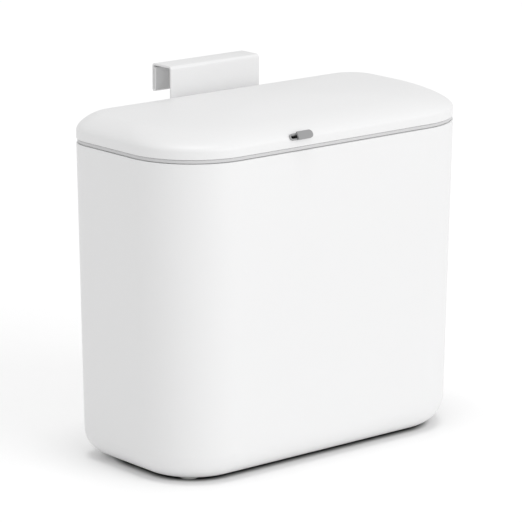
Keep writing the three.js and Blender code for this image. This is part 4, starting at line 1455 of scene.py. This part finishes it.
@dataclass
class LidLock:
    """The sliding lock: its frame on the lid's shoulder, the slider, and the bolt behind the wall."""

    length: float = 19.6 * MM
    height: float = 5 * MM
    slider_height: float = 6 * MM
    raise_from_edge: float = 7.2 * MM
    frame_proud: float = 0.8 * MM
    border: float = 1.25 * MM
    opening_inset: float = 1.0 * MM
    slider_length: float = 13.6 * MM
    slider_proud: float = 1.7 * MM
    neck_near: float = 1 * MM
    neck_far: float = 7 * MM
    neck_length: float = 5.5 * MM
    root: float = 0.5 * MM
    pad_lap: float = 0.75 * MM
    pad_rise: float = 1 * MM

    def lean(self) -> Matrix:
        """Puts a lock drawn upright about its own centre onto the lid's shoulder."""
        lid = Lid()
        z = PLAN.lid_bottom + self.raise_from_edge
        span = 2 * MM
        angle = math.atan2(lid.inset_at(z + span) - lid.inset_at(z - span), span * 2)
        y = PLAN.rim.front + lid.inset_at(z)
        return Matrix.Translation((self.centre(), y, z)) @ Matrix.Rotation(-angle, 4, "X")

    def centre(self) -> float:
        """The lock's middle along X."""
        return middle("lock_bezel").x

    def rounded(self, inset: float, depth: float, start: float) -> Form:
        """A plate with round ends.

        Args:
            inset: How far inside the frame's outline.
            depth: Its thickness.
            start: Where its front face lies, along the lock's own Y.

        Returns:
            The form.
        """
        x, z = self.length / 2 - inset, self.height / 2 - inset
        return Form().plate((-x, -z), (x, z), z - 0.05 * MM, depth).moved(Matrix.Translation((0, start, 0)))

    def opening(self) -> Form:
        """The slot through the lid's wall."""
        return self.rounded(self.opening_inset, 13 * MM, -5 * MM).moved(self.lean())

    def surround(self) -> None:
        """Builds the frame."""
        form = self.rounded(0, self.frame_proud, -SEAT_GAP - self.frame_proud)
        piece = form.piece("lock_frame")
        piece.merge(self.rounded(self.border, 10 * MM, -5 * MM), Merge.CUT)
        piece.ease(0.22 * MM)
        piece.thing.data.transform(self.lean())
        piece.settle(Body.LID, Slot.LOCK_GREY, "lock_bezel")

    def slider(self) -> None:
        """Builds the thumb slider, with its neck through the slot."""
        back = -SEAT_GAP - self.frame_proud - SEAT_GAP
        half = self.slider_height / 2
        end = self.length / 2
        form = Form().plate(
            (end - self.slider_length, -half), (end, half), half - 0.05 * MM, self.slider_proud, 0.5 * MM)
        form.moved(Matrix.Translation((0, back - self.slider_proud, 0)))
        piece = form.piece("lock_slider")
        piece.ease(0.4 * MM, 4)
        piece.thing.data.transform(self.lean())
        bolt_low, bolt_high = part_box("lock_bolt")
        neck_half = self.height / 2 - self.border - SIDE_GAP / 2
        offset = self.centre()
        lean = self.lean()
        neck = Form().block(
            (bolt_high.x - self.neck_far - offset, back - self.root, -neck_half),
            (bolt_high.x - self.neck_near - offset, self.neck_length, neck_half)).moved(lean)
        piece.merge(neck, Merge.JOIN)
        tip = lean @ Vector((0, self.neck_length, 0))
        pad = Form().block(
            (bolt_high.x - self.neck_far, tip.y - self.pad_lap, tip.z - neck_half / 2),
            (bolt_high.x - self.neck_near, bolt_low.y - SEAT_GAP, middle("lock_screw").z + self.pad_rise))
        piece.merge(pad, Merge.JOIN)
        piece.settle(Body.LOCK, Slot.LOCK_GREY, "lock_thumb")

    def build(self) -> None:
        """Builds the lock."""
        self.surround()
        self.slider()
        bolt = Piece.from_node("lock_bolt").round_edges(0.25 * MM, 3)
        bolt.piece("lock_tongue").settle(Body.LOCK, Slot.LOCK_DARK, "lock_bolt")


# ---------------------------------------------------------------------------------------------- hook


@dataclass
class DoorHook:
    """The bent sheet hook with its hemmed back leg, and the foam between it and the door."""

    sheet: float = 1.4 * MM
    bend: float = 2.4 * MM
    back_drop: float = 20.5 * MM
    hem_gap: float = 1.0 * MM
    hem_top_gap: float = 1.6 * MM
    bend_segments: int = 10

    def strip(self) -> Form:
        """The sheet's middle surface with all its bends."""
        low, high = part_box("door_hook")
        half = self.sheet / 2
        front, back, top = low.y + half, high.y - half, high.z - half
        fold = half + self.hem_gap / 2
        bottom = high.z - self.back_drop + half
        leaf = back - 2 * fold
        path = [
            (front, low.z), (front, top), (back, top), (back, bottom), (leaf, bottom),
            (leaf, high.z - self.sheet - self.hem_top_gap)]
        form = Form()
        bm = form.bm
        verts = [bm.verts.new((low.x, y, z)) for y, z in path]
        edges = [bm.edges.new(pair) for pair in zip(verts, verts[1:])]
        grown = bmesh.ops.extrude_edge_only(bm, edges=edges)["geom"]
        moved = [item for item in grown if isinstance(item, bmesh.types.BMVert)]
        bmesh.ops.translate(bm, verts=moved, vec=(high.x - low.x, 0, 0))
        for spots, radius in (((1, 2), self.bend - half), ((3, 4), fold * 0.995)):
            folds = [
                edge for edge in bm.edges
                if len(edge.link_faces) == 2 and any(
                    (vert.co.yz - Vector(path[spot])).length < MERGE
                    for vert in edge.verts[:1] for spot in spots)]
            bmesh.ops.bevel(
                bm, geom=folds, offset=radius, offset_type="OFFSET", segments=self.bend_segments,
                profile=0.5, affect="EDGES", material=-1, clamp_overlap=False)
        return form

    def build_hook(self) -> None:
        """Builds the hook."""
        piece = self.strip().piece("door_hook_sheet")
        thick = piece.thing.modifiers.new("sheet", "SOLIDIFY")
        thick.thickness = self.sheet
        thick.offset = 0
        thick.use_even_offset = True
        piece.apply()
        holes = Form()
        for number in (1, 2):
            screw = middle(f"hook_screw_{number}")
            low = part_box("door_hook")[0]
            holes.bar(HOOK_SCREW_HOLE, (screw.x, low.y - 2 * MM, screw.z), (screw.x, low.y + 4 * MM, screw.z))
        piece.merge(holes, Merge.CUT)
        piece.ease(0.25 * MM, 3, math.radians(50))
        piece.settle(Body.BIN, Slot.WHITE_STEEL, "door_hook")

    def build_pad(self) -> None:
        """Builds the foam pad with its two nut pockets."""
        low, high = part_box("door_pad")
        form = Form().plate((low.x, low.z), (high.x, high.z), 3 * MM, high.y - low.y)
        piece = form.moved(Matrix.Translation((0, low.y, 0))).piece("door_foam")
        pockets = Form()
        for number in (1, 2):
            nut = middle(f"hook_nut_{number}")
            pockets.bar(5.5 * MM, (nut.x, low.y - MM, nut.z), (nut.x, high.y + MM, nut.z))
        piece.merge(pockets, Merge.CUT)
        piece.ease(0.7 * MM, 4, math.radians(50))
        piece.settle(Body.BIN, Slot.PAD_FOAM, "door_pad")

    def build(self) -> None:
        """Builds hook and pad."""
        self.build_hook()
        self.build_pad()


# ---------------------------------------------------------------------------------------------- fasteners


@dataclass(frozen=True)
class Screw:
    """A cross-recessed pan-head screw, head up, with its head's underside at the origin."""

    head_radius: float
    head_height: float
    shank_radius: float
    length: float
    pitch: float = 0.9 * MM

    def form(self) -> Piece:
        """Builds the screw."""
        core = self.shank_radius * 0.82
        dome = self.head_radius
        profile = [(0, -self.length), (core * 0.4, -self.length), (core, -self.length + core)]
        z = -self.length + core
        while z + self.pitch < -self.pitch:
            profile += [(core, z + self.pitch * 0.3), (self.shank_radius, z + self.pitch * 0.5)]
            profile += [(self.shank_radius, z + self.pitch * 0.6), (core, z + self.pitch * 0.8)]
            z += self.pitch
        profile += [
            (core, -self.pitch / 2), (self.shank_radius, 0), (dome * 0.97, 0),
            (dome, self.head_height * 0.12)]
        profile += [(dome, self.head_height * 0.4), (dome * 0.93, self.head_height * 0.72)]
        profile += [
            (dome * 0.74, self.head_height * 0.95), (dome * 0.5, self.head_height), (0, self.head_height)]
        piece = Form().turned(profile, sides=40).piece("screw")
        reach, half = dome * 0.6, dome * 0.13
        bottom, top = self.head_height * 0.4, self.head_height + MM
        piece.merge(Form().block((-reach, -half, bottom), (reach, half, top)), Merge.CUT)
        piece.merge(Form().block((-half, -reach, bottom), (half, reach, top)), Merge.CUT)
        return piece


@dataclass
class Fasteners:
    """All screws, nuts, washers and hinge pins."""

    def fit(self, screw: Screw, node: str, body: Body, turn: Matrix, head_at: Vector) -> None:
        """Builds one screw in its place.

        Args:
            screw: Its kind.
            node: The CAD node it stands for.
            body: The body it rides on.
            turn: Turns it from head up to its own direction.
            head_at: Where its head's underside lies.
        """
        piece = screw.form()
        piece.thing.name = f"{node}_turned"
        piece.thing.data.transform(Matrix.Translation(head_at) @ turn)
        piece.settle(body, Slot.ZINC_STEEL, node)

    def screws(self) -> None:
        """Builds every screw."""
        upright = Matrix.Identity(4)
        ring = Screw(3 * MM, 1.8 * MM, 1.4 * MM, 12 * MM)
        for number in range(1, 7):
            low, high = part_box(f"ring_screw_{number}")
            spot = middle(f"ring_screw_{number}")
            self.fit(
                ring, f"ring_screw_{number}", Body.BIN, upright, Vector((spot.x, spot.y, high.z - 1.8 * MM)))
        keeper = Screw(1.9 * MM, 0.4 * MM, 0.9 * MM, 5 * MM, 0.7 * MM)
        for number in (1, 2):
            low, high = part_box(f"keeper_screw_{number}")
            spot = middle(f"keeper_screw_{number}")
            self.fit(
                keeper, f"keeper_screw_{number}", Body.BIN, upright, Vector((spot.x, spot.y, high.z - 0.4 * MM)))
        liner = Screw(2.8 * MM, 1.6 * MM, 1.3 * MM, 9 * MM)
        for number in range(1, 5):
            low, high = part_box(f"lid_screw_{number}")
            spot = middle(f"lid_screw_{number}")
            self.fit(
                liner, f"lid_screw_{number}", Body.LID, Matrix.Rotation(math.pi, 4, "X"),
                Vector((spot.x, spot.y, low.z + 1.6 * MM)))
        low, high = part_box("lock_screw")
        spot = middle("lock_screw")
        lock = Screw(1.6 * MM, 0.9 * MM, 0.5 * MM, 3.9 * MM, 0.45 * MM)
        inward = Matrix.Rotation(-math.pi / 2, 4, "X")
        self.fit(lock, "lock_screw", Body.LOCK, inward, Vector((spot.x, high.y - 0.9 * MM, spot.z)))
        outward = Matrix.Rotation(math.pi / 2, 4, "X")
        for number in (1, 2):
            low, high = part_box(f"hook_screw_{number}")
            spot = middle(f"hook_screw_{number}")
            hook = Screw(3.6 * MM, 2.2 * MM, 2 * MM, high.y - low.y - 2.2 * MM, 0.7 * MM)
            self.fit(
                hook, f"hook_screw_{number}", Body.BIN, outward, Vector((spot.x, low.y + 2.2 * MM, spot.z)))

    def washer(self, number: int) -> None:
        """Builds one washer.

        Args:
            number: 1 or 2.
        """
        low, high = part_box(f"hook_washer_{number}")
        spot = middle(f"hook_washer_{number}")
        outer, inner, thick = (high.x - low.x) / 2, HOOK_SCREW_HOLE, high.y - low.y
        soft = 0.15 * MM
        form = Form().turned([
            (inner, 0), (outer - soft, 0), (outer, soft), (outer, thick - soft), (outer - soft, thick),
            (inner, thick)], closed=True)
        form.moved(Matrix.Translation((spot.x, low.y, spot.z)) @ Matrix.Rotation(-math.pi / 2, 4, "X"))
        form.piece(f"hook_washer_{number}_turned").settle(Body.BIN, Slot.ZINC_STEEL, f"hook_washer_{number}")

    def nut(self, number: int) -> None:
        """Builds one nut: a hexagon chamfered by a cone, with its bore.

        Args:
            number: 1 or 2.
        """
        low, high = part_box(f"hook_nut_{number}")
        spot = middle(f"hook_nut_{number}")
        corner = max(high.x - low.x, high.z - low.z) / 2
        thick = high.y - low.y
        form = Form().bar(corner, (spot.x, low.y, spot.z), (spot.x, high.y, spot.z), 6)
        piece = form.piece(f"hook_nut_{number}_turned")
        flat = corner * 0.9
        slope = (corner * 1.02 - flat) * 0.58
        cone = Form().turned([
            (0, 0), (flat, 0), (corner * 1.02, slope),
            (corner * 1.02, thick - slope), (flat, thick), (0, thick)])
        cone.moved(Matrix.Translation((spot.x, low.y, spot.z)) @ Matrix.Rotation(-math.pi / 2, 4, "X"))
        piece.merge(cone, Merge.KEEP)
        bore = Form().bar(HOOK_SCREW_HOLE, (spot.x, low.y - MM, spot.z), (spot.x, high.y + MM, spot.z))
        piece.merge(bore, Merge.CUT)
        piece.settle(Body.BIN, Slot.ZINC_STEEL, f"hook_nut_{number}")

    def pin(self, number: int) -> None:
        """Builds one hinge pin with its head outwards.

        Args:
            number: 1 or 2.
        """
        low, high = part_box(f"hinge_pin_{number}")
        spot = middle(f"hinge_pin_{number}")
        head, head_radius, radius = MM, 2.2 * MM, 1.5 * MM
        length = high.x - low.x
        soft = 0.3 * MM
        profile = [
            (0, 0), (radius - soft, 0), (radius, soft), (radius, length - head),
            (head_radius - soft / 2, length - head)]
        profile += arc(head_radius - soft, length - soft, soft, 0, 90) + [(0, length)]
        outward = 1 if spot.x > 0 else -1
        start = low.x if outward > 0 else high.x
        form = Form().turned(profile)
        form.moved(
            Matrix.Translation((start, spot.y, spot.z)) @ Matrix.Rotation(outward * math.pi / 2, 4, "Y"))
        form.piece(f"hinge_pin_{number}_turned").settle(Body.BIN, Slot.ZINC_STEEL, f"hinge_pin_{number}")

    def build(self) -> None:
        """Builds every fastener."""
        self.screws()
        for number in (1, 2):
            self.washer(number)
            self.nut(number)
            self.pin(number)


# ---------------------------------------------------------------------------------------------- studio


@dataclass
class Studio:
    """The floor, the lights and the camera."""

    azimuth: float = math.radians(39.9)
    elevation: float = math.radians(13.79)
    distance: float = 2.3176
    lens: float = 222.2
    sensor: float = 36.0
    aim_shift: tuple[float, float, float] = (-10.7 * MM, -5.8 * MM, -0.9 * MM)
    floor_half: float = 9.0
    floor_colour: tuple[float, float, float] = (0.955, 0.955, 0.955)
    sky: float = 0.71

    def floor(self) -> None:
        """Builds the floor."""
        form = Form()
        bmesh.ops.create_grid(form.bm, x_segments=1, y_segments=1, size=self.floor_half)
        thing = form.piece("studio_floor").thing
        thing.data.materials.append(StudioFloor("white_paper", self.floor_colour).material())
        thing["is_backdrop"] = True

    def softbox(self, name: str, towards: Vector, spread: float, strength: float) -> None:
        """Adds a distant soft light that lights the caddy and the floor evenly.

        Args:
            name: Its name.
            towards: The direction it stands in.
            spread: The angle that it fills.
            strength: Its irradiance in W/m2.
        """
        data = bpy.data.lights.new(name, "SUN")
        data.angle = spread
        data.energy = strength
        lamp = bpy.data.objects.new(name, data)
        lamp.location = towards
        lamp.rotation_euler = towards.to_track_quat("Z", "Y").to_euler()
        bpy.context.scene.collection.objects.link(lamp)

    def lights(self) -> None:
        """Adds an even sky, the low front light and the one overhead that draws the lid's shoulder."""
        world = bpy.data.worlds.new("studio_sky")
        world.use_nodes = True
        background = world.node_tree.nodes["Background"]
        background.inputs["Color"].default_value = (1, 1, 1, 1)
        background.inputs["Strength"].default_value = self.sky
        bpy.context.scene.world = world
        self.softbox("front_light", Vector((0.25, -0.9, 0.27)), math.radians(45), 1.0)
        self.softbox("top_light", Vector((-0.05, -0.05, 1.0)), math.radians(26), 0.88)

    def camera(self) -> None:
        """Places the camera."""
        low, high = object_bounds()
        aim = (Vector(low) + Vector(high)) / 2 + Vector(self.aim_shift)
        back = Vector((
            -math.sin(self.azimuth) * math.cos(self.elevation),
            -math.cos(self.azimuth) * math.cos(self.elevation), math.sin(self.elevation)))
        data = bpy.data.cameras.new("camera")
        data.lens = self.lens
        data.sensor_width = self.sensor
        data.clip_end = 60
        thing = bpy.data.objects.new("camera", data)
        thing.location = aim + back * self.distance
        thing.rotation_euler = back.to_track_quat("Z", "Y").to_euler()
        bpy.context.scene.collection.objects.link(thing)
        bpy.context.scene.camera = thing

    def build(self) -> None:
        """Builds the studio."""
        bpy.context.scene.view_settings.view_transform = "Standard"
        self.camera()
        self.floor()
        self.lights()


def main() -> None:
    """Builds the caddy and its studio."""
    logging.basicConfig(level=logging.INFO, format="%(message)s")
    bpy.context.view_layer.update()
    for part in (Studio(), BinBody(), SoftFeet(), RimRing(), Lid(), LidLock(), DoorHook(), Fasteners()):
        part.build()


if __name__ == "__main__":
    main()
